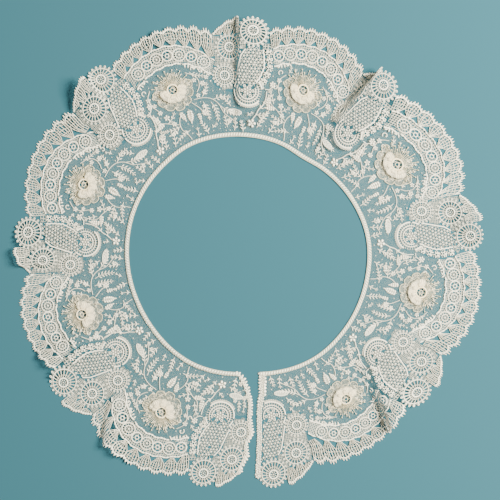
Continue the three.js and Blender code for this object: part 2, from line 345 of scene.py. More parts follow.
def pads(middles, heading, length, width, rise, low=THREAD_LOW, sides=8, lean=0.15, close=1.0):
    """Closely worked pads: each a closed lens with a pointed-egg outline, length times the
    cosine by width times the sine of each corner's angle, fuller at the foot by `lean`, and a
    crown over its middle."""
    middles = np.asarray(middles, float).reshape(-1, 2)
    count = len(middles)
    spread = [np.broadcast_to(np.asarray(v, float), count)[:, None, None]
              for v in (length, width)]
    heading = np.broadcast_to(np.asarray(heading, float), count)
    along, aside = toward(heading)[:, None], toward(heading - 90)[:, None]
    angle = np.arange(sides) * 2 * np.pi / sides
    cosine, sine = np.cos(angle)[:, None], np.sin(angle)[:, None]
    rim = middles[:, None] + along * cosine * spread[0] / 2
    rim = rim + aside * sine * (1 - lean * cosine) * spread[1] / 2
    crown = low + np.broadcast_to(np.asarray(rise, float), count)
    points = np.concatenate([raised(rim, low), raised(middles[:, None], crown[:, None])], axis=1)
    at = np.arange(count)[:, None, None] * (sides + 1)
    corner = np.arange(sides)
    top = np.stack([corner, (corner + 1) % sides, np.full(sides, sides)], axis=-1)
    under = np.stack([np.zeros(sides - 2, int), corner[2:], corner[1:-1]], axis=-1)
    faces = (at + np.concatenate([top, under])).reshape(-1, 3)
    return points.reshape(-1, 3), [faces], close


TAPE_STEP = 0.65
TAPE_STITCH = 2.9  # from one place where the oversewing pulls its edge in to the next
STRAND_PITCH = TAPE_STITCH / 1.1  # from one strand of it to the next
PULL_IN, PULL_DOWN = 0.45, 0.35
tape_start = front_turn(LEFT_FRONT, NECK_RADIUS, -SEAM)
tape_end = front_turn(RIGHT_FRONT, NECK_RADIUS, SEAM)
tape_length = np.radians(tape_end - tape_start) * (NECK_RADIUS + TAPE_WIDTH / 2)
tape_run = np.linspace(0, tape_length, int(tape_length / TAPE_STEP))
tape_turn = tape_start + (tape_end - tape_start) * tape_run / tape_length

# Across the tape: how far over its width, its height there, and how much a stitch pulls it.
TAPE_SECTION = np.array([
    (0.07, 0.55, 0), (0.11, 0.95, 0), (0.19, 0.98, 0), (0.28, 0.72, 0), (0.52, 0.8, 0),
    (0.72, 0.7, 0.3), (0.8, 0.98, 0.8), (0.91, 0.9, 1), (0.96, 0.5, 1), (0.87, 0.1, 0.5),
    (0.13, 0.1, 0),
])
pull = 0.5 + 0.5 * np.cos(2 * np.pi * tape_run / TAPE_STITCH)[:, None]
pull = pull * (1 + 0.6 * np.sin(tape_run / 3.1) * np.sin(tape_run / 7.3))[:, None]
tape_out = NECK_RADIUS + TAPE_WIDTH * TAPE_SECTION[:, 0] - PULL_IN * pull * TAPE_SECTION[:, 2]
tape_high = TAPE_SECTION[:, 1] * (1 - PULL_DOWN * pull * TAPE_SECTION[:, 2])
tape_flat = tape_out[..., None] * toward(tape_turn - 180)[:, None, :]
tape_skin, tape_faces = sleeve(raised(tape_flat, tape_high))

# The oversewing lies aslant over the whole width, like the strands of a cord.
strand_turn = np.arange(tape_start + 1, tape_end - 0.5, np.degrees(STRAND_PITCH / NECK_RADIUS))
strand_turn = strand_turn - 180
strand_flat = (NECK_RADIUS + 0.5 * TAPE_WIDTH) * toward(strand_turn)
tape = make_piece("neck_tape_woven", 180, [
    (tape_skin, tape_faces, 0.0),
    pads(strand_flat, strand_turn + 35, length=TAPE_WIDTH, width=1.7, rise=0.7, low=0.7),
])
# The tape cotton's open colour is painted shade: the woven body, at closeness 0, takes it, so it is
# darker between the oversewing strands that lie over it.
tape_cotton = cotton(
    "woven tape cotton", (0.4, 0.4, 0.3, 1), (0.88, 0.82, 0.63, 1), lumps_mm=0.7, lump_depth_mm=0.25
)
sew_on(tape, "neck_tape", tape_cotton)


# --- Front edges -----------------------------------------------------------------------------
# The two sides of the front opening are bound by hand: the left one with a narrow edging of
# needle-made loops, and the right one with a straight plaited braid, lumpy where it is joined
# on near the neck.

LEFT_BAND_WIDTH, RIGHT_BAND_WIDTH = 3.0, 5.5


def beside(table, radius, inset):
    """Flat points at radii along a front edge, `inset` inwards from it: their distance out is
    the root of the radius squared less the distance across squared."""
    side = -1 if table is RIGHT_FRONT else 1
    x = side * inset - front_line(table, radius)
    return np.stack([x, np.sqrt(radius ** 2 - x ** 2)], axis=-1)


def band_section(table, radius, profile, width, lumps):
    """Sections of a band at radii along a front edge: its profile's first numbers are shares
    of the width inwards from the edge, and the second heights, which each swell and sink with
    the lumps of their own row."""
    flat = beside(table, radius[:, None], width * profile[:, 0])
    return raised(flat, profile[:, 1] * (1 + lumps))


band_radius = np.arange(118.4, 221.2, 0.8)
LOOPED = np.array([(0.2, 0.12), (0.9, 0.12), (0.89, 0.4), (0.55, 0.55), (0.21, 0.4)])
strip = sleeve(band_section(LEFT_FRONT, band_radius, LOOPED, LEFT_BAND_WIDTH, 0.0))
uneven = np.random.default_rng(7)  # hand work is uneven, here the same way every time


def cords(paths, width, height, low=THREAD_LOW, closed=False, close=0.8, under=False):
    """Threads couched along flat paths (cords, steps, 2): at each step a roof-shaped section,
    a corner half the width to either side and one standing over the path, joined to the next
    step's, and flat beneath if it has an underside. A closed path joins its end to its start."""
    paths = np.asarray(paths, float)
    if paths.ndim == 2:
        paths = paths[None]
    if closed:
        along = np.roll(paths, -1, axis=1) - np.roll(paths, 1, axis=1)
    else:
        along = np.gradient(paths, axis=1)
    along /= np.maximum(np.linalg.norm(along, axis=-1, keepdims=True), 1e-9)
    aside = np.stack([along[..., 1], -along[..., 0]], axis=-1)
    half = np.broadcast_to(np.asarray(width, float), paths.shape[:2])[..., None] / 2
    crest = low + np.broadcast_to(np.asarray(height, float), paths.shape[:2])
    right, left = raised(paths + aside * half, low), raised(paths - aside * half, low)
    section = np.stack([right, raised(paths, crest), left], axis=2)
    count, steps = paths.shape[:2]
    at = np.arange(count * steps * 3).reshape(count, steps, 3)
    here, after = at, np.roll(at, -1, axis=1)
    if not closed:
        here, after = at[:, :-1], after[:, :-1]
    faces = []
    for a, b in ((0, 1), (1, 2), (2, 0)) if under else ((0, 1), (1, 2)):
        side = [here[..., a], after[..., a], after[..., b], here[..., b]]
        faces.append(np.stack(side, axis=-1).reshape(-1, 4))
    return section.reshape(-1, 3), faces, close


def rings(middles, radius, width, height, low=THREAD_LOW, sides=10, close=0.8):
    """Round cords of one thread about their middles."""
    middles = np.asarray(middles, float).reshape(-1, 2)
    reach = np.broadcast_to(np.asarray(radius, float), len(middles))[:, None, None]
    heading = np.arange(sides) * 360 / sides
    paths = middles[:, None] + reach * toward(heading)
    return cords(paths, width, height, low, closed=True, close=close)


def headings_of(line):
    """The heading of a line at each of its points, in degrees."""
    along = np.gradient(line, axis=0)
    return np.degrees(np.arctan2(along[:, 0], along[:, 1]))


LOOP_STRAY, LOOP_TURN = 0.45, 22  # how far a loop lies out of place, and out of line


def ruffle(table, radius, inset, lean, length, width):
    """Small closely worked loops along a front edge, drawn as pads: `inset` inwards from it and
    at a lean to its line, each a little out of place, larger or smaller, and more or less
    raised than the next."""
    count = len(radius)
    middles = beside(table, radius, inset + uneven.uniform(-LOOP_STRAY, LOOP_STRAY, count))
    heading = headings_of(middles) + lean + uneven.uniform(-LOOP_TURN, LOOP_TURN, count)
    size = uneven.uniform(0.8, 1.2, count)
    rise = uneven.uniform(0.7, 1.3, count)
    return pads(middles, heading, length * size, width * size, rise, low=0.35)


LOOP_PITCH = 3.0
loop_radius = np.arange(119.4, 220.0, LOOP_PITCH)
between_radius = loop_radius + LOOP_PITCH / 2
fringe_radius = np.arange(118.8, 138.0, 2.6)  # the wider loops near the neck
eyelets = beside(LEFT_FRONT, between_radius, uneven.uniform(2.2, 3.2, len(loop_radius)))
left_band = make_piece("front_band_left_looped", 0, [
    (*strip, 0.0),
    ruffle(LEFT_FRONT, loop_radius, inset=0.5, lean=-90, length=3.6, width=2.3),
    ruffle(LEFT_FRONT, between_radius, inset=1.9, lean=40, length=2.6, width=1.5),
    rings(eyelets, radius=1.2, width=0.7, height=0.75, low=0.4, sides=9, close=0.9),
    ruffle(LEFT_FRONT, fringe_radius, inset=3.0, lean=-60, length=3.2, width=2.2),
])
CREAM = (0.88, 0.83, 0.65, 1)  # cotton worked solid
# The band cotton's open colour is painted shade: the looped strip and the plait, at closeness 0,
# take it, darker under and between the loops and knots that lie on them.
band_cotton = cotton(
    "front band cotton", (0.35, 0.35, 0.27, 1), CREAM, lumps_mm=0.6, lump_depth_mm=0.25
)
sew_on(left_band, "front_band_left", band_cotton)

PLAITED = np.array([
    (0.1, 0.12), (0.11, 0.3), (0.18, 0.5), (0.28, 0.3), (0.38, 0.5), (0.5, 0.3),
    (0.62, 0.5), (0.74, 0.3), (0.85, 0.5), (0.94, 0.3), (0.95, 0.12),
])
PLAIT_PITCH = 2.3
PLAIT_SLANT = 12  # how far its lumps run on from one edge to the other, in radians
JOINED_TO = 145  # the radius up to which the join near the neck makes it lumpier
plait_radius = np.arange(118.4, 224.2, 0.5)
plait_phase = plait_radius[:, None] / PLAIT_PITCH * 2 * np.pi + PLAIT_SLANT * PLAITED[:, 0]
lumps = np.where(plait_radius < JOINED_TO, 0.3, 0.13)[:, None] * np.cos(plait_phase)
plait = sleeve(band_section(RIGHT_FRONT, plait_radius, PLAITED, RIGHT_BAND_WIDTH, lumps))
BRAID_PITCH = 2.4
braid_radius = np.arange(119.3, 223.5, BRAID_PITCH)
right_band = make_piece("front_band_right_braid", 360, [
    (*plait, 0.0),
    ruffle(RIGHT_FRONT, braid_radius, inset=1.0, lean=50, length=2.8, width=1.2),
    ruffle(RIGHT_FRONT, braid_radius + BRAID_PITCH / 2, inset=2.7, lean=-50, length=2.7, width=1.1),
    ruffle(RIGHT_FRONT, braid_radius, inset=4.5, lean=50, length=2.7, width=1.1),
    ruffle(RIGHT_FRONT, np.arange(120.0, 152.0, 3.1), inset=0.2, lean=80, length=2.8, width=2.0),
    ruffle(RIGHT_FRONT, np.arange(122.0, 143.0, 3.3), inset=5.4, lean=60, length=3.8, width=2.6),
])
sew_on(right_band, "front_band_right", band_cotton)


# --- Net ground and sprays -------------------------------------------------------------------
# Needle-made net of the finest thread, one stretch between every two medallions and a corner at
# each front. Fern sprays, serrated leaves, little flowers and dots are worked into it, each
# edged with a thicker thread, and the ends of the ringed chain reach over it.

REPEATS = [  # turns of each medallion's axis and of the rose that follows it
    (9.6, 28.9), (53.4, 70.3), (94.2, 113.2), (138, 155.4), (179.8, 198.5), (221.5, 239.6),
    (263.1, 282.2), (306.6, 325.8), (351.4, None),
]
# A medallion across its axis, radius by radius: the far side of the wheels, the seam between
# the wheels and the bell, and the far side of the bell with its band of flowers.
MEDALLION = np.array([
    (118, 0, 0, 0), (143, 0, 0, 0), (146, -7, -7, 7), (152, -12, -12, 12),
    (162, -14, -14, 15), (164, -23, -14, 15), (170, -33, -13, 18), (178, -36, -11, 23),
    (188, -33, -8, 27), (198, -32, -5, 27), (206, -35, 1, 26), (209, -35, 11, 25),
    (212, -35, 21.5, 24), (218, -35, 23, 23), (236, -35, 22, 22),
])
WHEELS, BELL, BAND = 1, 2, 3
CHAIN_RADIUS = 198.0  # where the net panel ends and the border panel begins
BORDER_LOBE = (224, EDGE_RADIUS, 221, 0.5)  # radius at its first notch, tip and last, and
WHEEL_LOBE = (221, EDGE_RADIUS, 224, 0.64)  # how far along the lobe its tip is
LOBE_POWER = 2.1


def seam(number, column):
    """The turn of a medallion's edge at any radius: its axis and the width over the radius."""
    def turn(radius):
        width = np.interp(radius, MEDALLION[:, 0], MEDALLION[:, column])
        return REPEATS[number][0] + np.degrees(width / radius)
    return turn


def lobe(shape, share):
    """The radius of a lobe's edge at a share of its width: from the tip it falls to either
    notch with a power of the distance, so that the shoulders are fuller than a circle's."""
    first, tip, last, along = shape
    near = share < along
    away = np.abs(np.where(near, (along - share) / along, (share - along) / (1 - along)))
    return tip - (tip - np.where(near, first, last)) * np.minimum(away, 1) ** LOBE_POWER


class Panel:
    """One panel of the flat cut: the axis its flat points are measured from, its first and last
    turns at any radius, and its two rims."""

    def __init__(self, axis, first, last, inner, outer):
        self.axis, self.from_seam, self.to_seam = axis, first, last
        self.inner, self.shape = inner, outer

    def first(self, radius):
        """The turn of the first side, no further round than the left front band."""
        left = front_turn(LEFT_FRONT, radius, -LEFT_BAND_WIDTH - SEAM)
        return np.maximum(self.from_seam(radius), left)

    def last(self, radius):
        """The turn of the last side, no further round than the right front band."""
        return np.minimum(
            self.to_seam(radius), front_turn(RIGHT_FRONT, radius, RIGHT_BAND_WIDTH + SEAM)
        )

    def share(self, turn, radius):
        """How far across the panel a turn is, from 0 at its first side to 1 at its last."""
        first, last = self.first(radius), self.last(radius)
        return (turn - first) / np.maximum(last - first, 1e-3)

    def outer(self, share):
        """The radius of the outer rim, round or a lobe."""
        if isinstance(self.shape, tuple):
            return lobe(self.shape, share)
        return np.full_like(np.asarray(share, float), self.shape)

    def room(self, flat):
        """How far inside the panel flat points lie: the least distance to its four sides."""
        turn, radius = place_on_cut(self.axis, flat)
        reach = np.radians(radius)
        sides = [
            (turn - self.first(radius)) * reach,
            (self.last(radius) - turn) * reach,
            radius - self.inner,
            self.outer(self.share(turn, radius)) - radius,
        ]
        return np.minimum.reduce(sides)

    def holding(self, works, over):
        """Those works that lie in the panel, or no more than a little over its sides."""
        return [work for work in works if self.room(work[0][:, :2]).min() > -over]

    def cut(self):
        """The panel's greatest width, its depth and its flat area, added up ring by ring."""
        share = np.linspace(0.005, 0.995, 100)
        ring = 0.5
        radius = np.arange(self.inner, self.outer(share).max(), ring)
        width = np.radians(np.maximum(self.last(radius) - self.first(radius), 0)) * radius
        inside = radius[:, None] < self.outer(share)
        area = (width[:, None] * inside).mean(axis=1).sum() * ring
        return width.max(), radius[-1] - self.inner, area


def curve(points):
    """A smooth line through points: between every two a cubic whose slopes at its ends are
    half the way between their neighbours, as four short lengths."""
    points = np.asarray(points, float)
    ends = np.concatenate([[2 * points[0] - points[1]], points, [2 * points[-1] - points[-2]]])
    a, b, c, d = ends[:-3, None], ends[1:-2, None], ends[2:-1, None], ends[3:, None]
    t = np.linspace(0, 1, 4, endpoint=False)[:, None]
    line = b + 0.5 * t * (c - a + t * (2 * a - 5 * b + 4 * c - d + t * (3 * (b - c) + d - a)))
    return np.concatenate([line.reshape(-1, 2), points[-1:]])


FRAME_SINK = 0.12  # how far a mesh's thread falls from its crest to the hole
FRAME_PAINTED_SHADE = 0.4  # and how much painted shade darkens its colour there


def openwork(grid, across, along, closed=False, keep=None, close=0.6):
    """Openwork over grids of points (rows, columns, 3), rows outwards and columns clockwise:
    each mesh is left open but for a frame of thread, whose inner edge is the mesh shrunk to
    `across` and `along` of its size and sunk a little under the frame's crest. Round the holes
    the thread is given painted shade, a darker colour."""
    grid = grid if grid.ndim == 4 else grid[None]
    at = np.arange(np.prod(grid.shape[:3])).reshape(grid.shape[:3])
    if closed:
        grid = np.concatenate([grid, grid[:, :, :1]], axis=2)
        at = np.concatenate([at, at[:, :, :1]], axis=2)
        points = grid[:, :, :-1].reshape(-1, 3)
    else:
        points = grid.reshape(-1, 3)

    def corners(field):
        return field[:, :-1, :-1], field[:, :-1, 1:], field[:, 1:, 1:], field[:, 1:, :-1]

    a, b, c, d = corners(grid)
    holes = []
    for u, v in ((-1, -1), (1, -1), (1, 1), (-1, 1)):
        u, v = 0.5 + u * across / 2, 0.5 + v * along / 2
        hole = a * (1 - u) * (1 - v) + b * u * (1 - v) + c * u * v + d * (1 - u) * v
        hole[..., 2] -= FRAME_SINK
        holes.append(hole)
    holes = np.stack(holes, axis=3)
    inner = len(points) + np.arange(holes[..., 0].size).reshape(holes.shape[:4])
    outer = np.stack(corners(at), axis=3)
    frames = np.stack(
        [outer, np.roll(outer, -1, axis=3), np.roll(inner, -1, axis=3), inner], axis=-1
    )
    if keep is not None:
        frames = frames[np.broadcast_to(keep, frames.shape[:3])]
    # painted shade: the hole edges take a lower closeness, and so a darker colour
    shade = np.repeat([close, close - FRAME_PAINTED_SHADE], [len(points), holes[..., 0].size])
    return np.concatenate([points, holes.reshape(-1, 3)]), [frames.reshape(-1, 4)], shade


def knobs(middles, across, rise, low=THREAD_LOW, sides=7, lean=0.15, close=1.0):
    """Round pads: knobs, dots and beads."""
    return pads(middles, 0, across, across, rise, low, sides, lean, close)


def on_line(at, along, line):
    """The points of a line and its headings, `at` lengths between those of its own points."""
    points = np.stack([np.interp(at, along, line[:, i]) for i in (0, 1)], axis=-1)
    return points, np.interp(at, along, np.unwrap(headings_of(line), period=360))


def mesh_middles(grid):
    """The middle of each mesh of a grid of points."""
    return (grid[:-1, :-1] + grid[1:, 1:]) / 2


def fan_grid(middle, radii, headings):
    """Points about a middle: rows by distance out and columns by heading."""
    return np.asarray(middle) + np.asarray(radii, float)[:, None, None] * toward(headings)


NET_MESH = 1.05  # across a mesh of the net
NET_THREAD = 0.05  # how wide its thread is
NET_HIGH = 0.3  # over the cloth
NET_UNEVEN = 0.03  # how far its knots stray
# how closely the net is worked: it takes its cotton's open colour, painted shade, nearly in full
NET_CLOSE = 0.1


def net(keep, low, high):
    """Six-sided net over a box of flat points. Each mesh has a knot at its top and one at its
    foot, each a small triangle, and from a top knot a flat thread runs to the foot knots
    above, below left and below right, sharing the triangles' corners."""
    reach = NET_MESH / np.sqrt(3)
    rows = int((high[1] - low[1]) / (1.5 * reach)) + 1
    columns = int((high[0] - low[0]) / NET_MESH) + 1
    row, column = np.mgrid[:rows, :columns]
    middle = np.stack([(column + 0.5 * (row % 2)) * NET_MESH, row * 1.5 * reach], axis=-1)
    knots = np.stack([middle + (0, reach), middle - (0, reach)]) + low
    knots += uneven.normal(0, NET_UNEVEN, knots.shape)
    kept = keep(knots)
    headings = np.array([(60, 300, 180), (0, 240, 120)])
    spread = NET_THREAD / np.sqrt(3) * toward(headings)
    points = raised(knots[..., None, :] + spread[:, None, None], NET_HIGH)
    at = np.arange(kept.size * 3).reshape(2, rows, columns, 3)
    faces = [at[kept]]
    threads = [
        (2, column, (1, 0, 2, 1)),
        (1, column - 1 + row % 2, (2, 1, 0, 2)),
        (1, column + row % 2, (0, 2, 1, 0)),
    ]
    for rows_on, there, (a, b, c, d) in threads:
        here = slice(0, rows - rows_on)
        to_row, to_column = row[here] + rows_on, np.clip(there, 0, columns - 1)[here]
        both = kept[0][here] & kept[1][to_row, to_column] & (there[here] == to_column)
        near, far = at[0][here][both], at[1][to_row, to_column][both]
        faces.append(np.stack([near[:, a], near[:, b], far[:, c], far[:, d]], axis=-1))
    return points.reshape(-1, 3), faces, NET_CLOSE


def swung(works, degrees):
    """Works turned clockwise about the middle of the neck, from one axis to another."""
    cosine, sine = np.cos(np.radians(degrees)), np.sin(np.radians(degrees))
    turned = []
    for points, faces, close in works:
        x, y = points[:, 0], points[:, 1]
        flat = np.stack([x * cosine + y * sine, y * cosine - x * sine], axis=-1)
        turned.append((raised(flat, points[:, 2]), faces, close))
    return turned


def line_between(foot, tip):
    """Two ends as arrays, the way from one to the other, and the flat direction across it."""
    foot, tip = np.array(foot, float), np.array(tip, float)
    way = tip - foot
    return foot, tip, way, np.array([way[1], -way[0]]) / np.linalg.norm(way)


LEAFLET_PITCH = 2.8  # along a stem, so that dark net shows between the leaflets
LEAFLET_LEAN = 48.0


def frond(foot, tip, bow, leaflet):
    """A fern frond: a stem that bows aside by a half sine, and leaflets in pairs along it at a
    lean to it, shorter towards the tip, with one more at the end."""
    foot, tip, way, across = line_between(foot, tip)
    pairs = max(2, round(np.linalg.norm(way) * 0.8 / LEAFLET_PITCH))
    share = np.linspace(0, 1, 9)
    stem = foot + way * share[:, None] + across * bow * np.sin(np.pi * share)[:, None]
    t = np.linspace(0.2, 0.94, pairs)
    root, heading = on_line(t, share, stem)
    lean = np.repeat([-LEAFLET_LEAN, LEAFLET_LEAN], pairs)
    roots = np.vstack([root, root, stem[-1:]])
    headings = np.append(np.tile(heading, 2) + lean, heading[-1])
    length = leaflet * np.append(np.tile(1.05 - 0.35 * t ** 2, 2), 0.7)
    middles = roots + toward(headings) * length[:, None] * 0.52
    leaflets = pads(middles, headings, length, 0.29 * length, rise=0.8)
    return [joined([cords(stem, width=0.65, height=0.5, close=0.95, under=True), leaflets])]


TOOTH_LEAN = 55.0


def leaf(foot, tip, width, teeth):
    """A serrated leaf: teeth of close work on both sides of a raised vein, drawn as pads set
    along it at a lean, longest a third of the way up, with a small one at the tip."""
    foot, tip, way, _ = line_between(foot, tip)
    heading = headings_of(np.array([foot, tip]))[0]
    t = np.linspace(0.1, 0.9, teeth)
    full = np.sin(np.pi * (0.15 + 0.85 * t) ** 0.8)
    reach = width / 2 / np.sin(np.radians(TOOTH_LEAN)) * full
    headings = heading + np.repeat([-TOOTH_LEAN, TOOTH_LEAN], teeth)
    t, reach = np.tile(t, 2), np.tile(reach, 2)
    middles = foot + way * t[:, None] + toward(headings) * reach[:, None] * 0.55
    tooth = 0.9 * np.linalg.norm(way) / teeth
    return [
        pads(middles, headings, reach, tooth, rise=0.7),
        cords(np.linspace(foot, tip, 5), width=0.6, height=0.65, under=True),
        pads(tip, heading, length=2, width=1.3, rise=0.5),
    ]


def beaded_leaf(foot, tip, width):
    """A long leaf of openwork: a grid drawn in to a point at both ends, within a cord."""
    foot, tip, way, across = line_between(foot, tip)
    t = np.linspace(0, 1, 8)[:, None]
    half = width / 2 * np.sin(np.pi * (0.06 + 0.88 * t)) ** 0.7
    rows = (foot + way * t)[:, None]
    grid = rows + across * half[..., None] * np.linspace(-1, 1, 5)[:, None]
    rim = np.concatenate([grid[:, 0], grid[::-1, -1]])
    return [
        openwork(raised(grid, 0.55), across=0.45, along=0.45),
        cords(rim, width=0.9, height=0.6, closed=True, close=0.95),
    ]


def floweret(middle, reach, petals, turned=0.0):
    """A little flower: round petals about a knob."""
    headings = turned + np.arange(petals) * 360 / petals
    middles = np.array(middle, float) + toward(headings) * reach * 0.6
    width = min(1.1 * reach * np.sin(np.pi / petals), 0.85 * reach)
    return [
        pads(middles, headings, reach * 0.85, width, rise=0.55, lean=-0.2),
        knobs(middle, reach * 0.5, rise=0.8, low=0.4),
    ]


def hook(middle, reach, heading, sweep):
    """A hook of cord: an arc about a middle, closing in to a third of its reach, with a knob
    at its inner end."""
    t = np.linspace(0, 1, 11)
    away = reach * (1 - 0.62 * t ** 1.5)
    line = np.array(middle, float) + away[:, None] * toward(heading + sweep * t)
    return [
        cords(line, width=0.95, height=0.55, close=0.9, under=True),
        pads(line[-1], heading=0, length=1.7, width=1.6, rise=0.7, sides=7),
    ]


def spray(parts, stems=(), stem_width=0.9, stem_close=0.9):
    """What is worked into the net in one place: each maker's work for each of its rows, and
    the stems as smooth cords."""
    works = [work for maker, rows in parts for row in rows for work in maker(*row)]
    for stem in stems:
        works.append(cords(curve(stem), stem_width, height=0.6, close=stem_close, under=True))
    return works


# What the sprays hold, across and out from an axis. A frond has its foot, its tip, how far it
# bows and its leaflets' length; a leaf its foot, tip, width and number of teeth; a floweret its
# middle, reach, number of petals and turn; and a hook its middle, reach, the heading it starts
# from and its sweep.
ROSE_SPRAY = [
    (frond, [
        ((29.0, 156.5), (44.0, 163.0), 1.5, 4.0), ((32.5, 153.5), (47.0, 150.5), -1.2, 3.9),
        ((36.6, 145.0), (51.0, 131.5), 2.0, 4.2), ((29.5, 152.0), (29.0, 134.0), -1.5, 3.9),
        ((22.5, 155.0), (21.5, 138.0), -1.0, 3.7), ((24.0, 160.0), (32.5, 169.5), 1.0, 3.4),
        ((14.5, 123.4), (12.5, 136.0), 0.6, 3.9), ((34.0, 123.6), (36.0, 133.0), 0.4, 3.8),
        ((4.5, 123.6), (6.5, 131.5), 0.3, 3.4), ((-20.0, 124.0), (-17.0, 135.5), 0.5, 3.8),
        ((-0.5, 133.0), (-13.5, 129.0), 1.0, 3.6), ((-7.0, 140.5), (-21.0, 141.0), -1.0, 3.7),
        ((-24.0, 153.0), (-31.5, 162.5), 0.8, 3.4), ((-32.0, 130.5), (-27.0, 142.5), 0.8, 3.7),
        ((22.0, 186.5), (32.0, 179.0), 0.8, 3.2), ((-17.5, 147.5), (-8.5, 154.5), 0.8, 3.2),
    ]),
    (leaf, [
        ((6.5, 153.0), (3.8, 139.5), 6.4, 6), ((-2.5, 153.5), (-0.5, 143.5), 4.6, 5),
        ((-21.0, 149.0), (-31.0, 146.0), 4.6, 5), ((-12.0, 136.5), (-21.0, 136.0), 4.0, 4),
        ((13.5, 146.0), (13.0, 138.0), 3.8, 4),
    ]),
    (floweret, [
        ((-16.5, 153.5), 3.0, 5, 85), ((-12.3, 145.0), 2.6, 5, 85), ((-20.5, 160.5), 2.6, 6, 102),
        ((29.5, 172.0), 2.9, 6, 102), ((27.2, 163.2), 2.6, 5, 85), ((20.5, 162.5), 2.4, 5, 85),
        ((19.5, 144.5), 3.4, 8, 136), ((23.0, 178.0), 2.4, 5, 85), ((-26.0, 176.5), 2.6, 5, 85),
        ((35.0, 176.5), 2.5, 6, 102), ((-22.5, 169.0), 2.2, 5, 85), ((21.5, 150.5), 2.4, 5, 85),
    ]),
    (hook, [
        ((33.0, 184.0), 2.6, 60, -240), ((-26.5, 184.5), 2.8, 200, 250),
        ((38.5, 171.5), 2.3, 0, 250), ((-20.0, 176.0), 2.3, 90, -250),
        ((26.5, 189.0), 2.2, 250, 240), ((-28.0, 169.0), 2.4, 20, 240),
    ]),
]
ROSE_STEMS = [
    [(15, 160), (24, 158.6), (31.5, 154.5), (35.8, 147), (36.8, 138), (41, 130), (45, 124.5)],
    [(-2, 152), (-6.5, 145), (-7.5, 137), (-4, 130), (-2.5, 124)],
    [(-7.5, 142), (-14, 145.5), (-20, 149), (-26, 151.5), (-29, 158), (-30, 166)],
    [(12, 158), (17, 150), (19, 143)],
    [(21, 166), (25, 170), (27, 176.5), (24, 183), (18, 188)],
    [(-21, 163), (-25, 170), (-25.5, 178), (-21, 184.5)],
]
# Clockwise of a medallion's head: a flower on stems from the head.
HEAD_SPRAY = [
    (frond, [
        ((9.0, 141.0), (19.0, 142.0), 1.0, 3.7), ((9.5, 128.5), (14.5, 137.5), 0.6, 3.5),
        ((12.0, 146.5), (17.0, 152.5), 0.5, 3.2),
    ]),
    (leaf, [((20.5, 149.0), (21.5, 160.5), 4.8, 5)]),
    (floweret, [((4.2, 132.2), 4.4, 5, 20), ((25.2, 171.0), 3.3, 6)]),
    (hook, [((24.0, 180.0), 2.6, 320, 250)]),
]
HEAD_STEMS = [
    [(4.4, 136.5), (6.6, 140.5), (4.5, 144.5), (1, 146.5)],
    [(5.5, 136.5), (9, 141), (11.5, 146), (16, 151), (18.5, 157), (19.5, 164)],
    [(18, 166), (22, 166), (24.5, 168.5)],
]
# Counter-clockwise of it: a beaded leaf among fronds.
BEADED_LEAF = ((-5.5, 141.5), (-18.5, 143.0), 5.0)
BEADED_SPRAY = [
    (beaded_leaf, [BEADED_LEAF]),
    (frond, [
        ((-4.0, 123.6), (-5.5, 132.5), 0.5, 3.7), ((-13.0, 124.0), (-12.0, 135.0), 0.5, 3.6),
        ((-16.5, 147.5), (-26.0, 156.5), 1.0, 3.6), ((-14.5, 152.5), (-22.5, 162.0), -0.6, 3.2),
    ]),
    (floweret, [((-27.5, 163.5), 2.8, 5), ((-18.0, 133.0), 2.4, 5)]),
]
BEADED_STEMS = [[(-3, 146), (-9, 146.5), (-15, 146.5), (-22, 148), (-28, 146)]]
# In the corner by the left front, about the first medallion's axis.
CORNER_SPRAY = [
    (beaded_leaf, [BEADED_LEAF]),
    (frond, [
        ((-1.0, 124.0), (-2.0, 133.0), 0.0, 3.4), ((-9.0, 124.0), (-8.5, 134.5), 0.4, 4.1),
        ((-19.5, 125.0), (-18.0, 137.0), 0.5, 4.1), ((-22.5, 139.5), (-21.0, 147.5), 0.6, 3.4),
        ((-15.5, 146.5), (-16.5, 155.5), -0.4, 3.0), ((-22.5, 148.5), (-21.5, 156.5), 0.4, 3.0),
        ((-4.0, 133.5), (-14.0, 138.5), 0.6, 3.7),
    ]),
    (floweret, [
        ((-14.5, 129.5), 2.6, 5, 55), ((-23.0, 132.0), 2.4, 5, 55), ((-11.5, 147.0), 2.2, 5, 55),
        ((-20.5, 144.0), 2.0, 5, 55),
    ]),
]


# The ringed chain arches over the rose from one medallion to the next.
CHAIN_TOP = 211.0  # radius of its middle line where it is furthest out
CHAIN_HALF = 9.4  # from its middle line to the cord along either side
CHAIN_PITCH = 3.05  # degrees from one ring to the next
CHAIN_SPAN = (-17, 17)  # its headings from the rose
CHAIN_SHIFT = 0.6  # degrees by which its middle ring is set counter-clockwise
OPEN_REACH, DENSE_REACH = 5.1, 6.3
CHAIN_FOOT = 178.0  # radius where its ends run into the medallions


def arch(heading):
    """The radius of the chain's middle line at a heading from the rose: it falls away with
    the square of the heading, faster clockwise than the other way."""
    away = heading - 0.5
    return CHAIN_TOP - np.where(away > 0, 0.13, 0.087) * away ** 2


def within(points):
    """How far flat points lie within the chain's inner side, towards the neck."""
    radius = np.hypot(points[..., 0], points[..., 1])
    heading = np.degrees(np.arctan2(points[..., 0], points[..., 1]))
    return np.maximum(arch(heading) - CHAIN_HALF, CHAIN_FOOT) - radius


def cord_runs(line, keep, width, height, close=1.0):
    """A cord along each unbroken stretch of a line whose points are kept, of three or more."""
    width = np.broadcast_to(width, len(line))
    ends = np.flatnonzero(np.diff(np.concatenate([[0], keep.astype(int), [0]])))
    stretches = [slice(a, b) for a, b in zip(ends[::2], ends[1::2]) if b - a > 2]
    return [cords(line[part], width[part], height, close=close) for part in stretches]


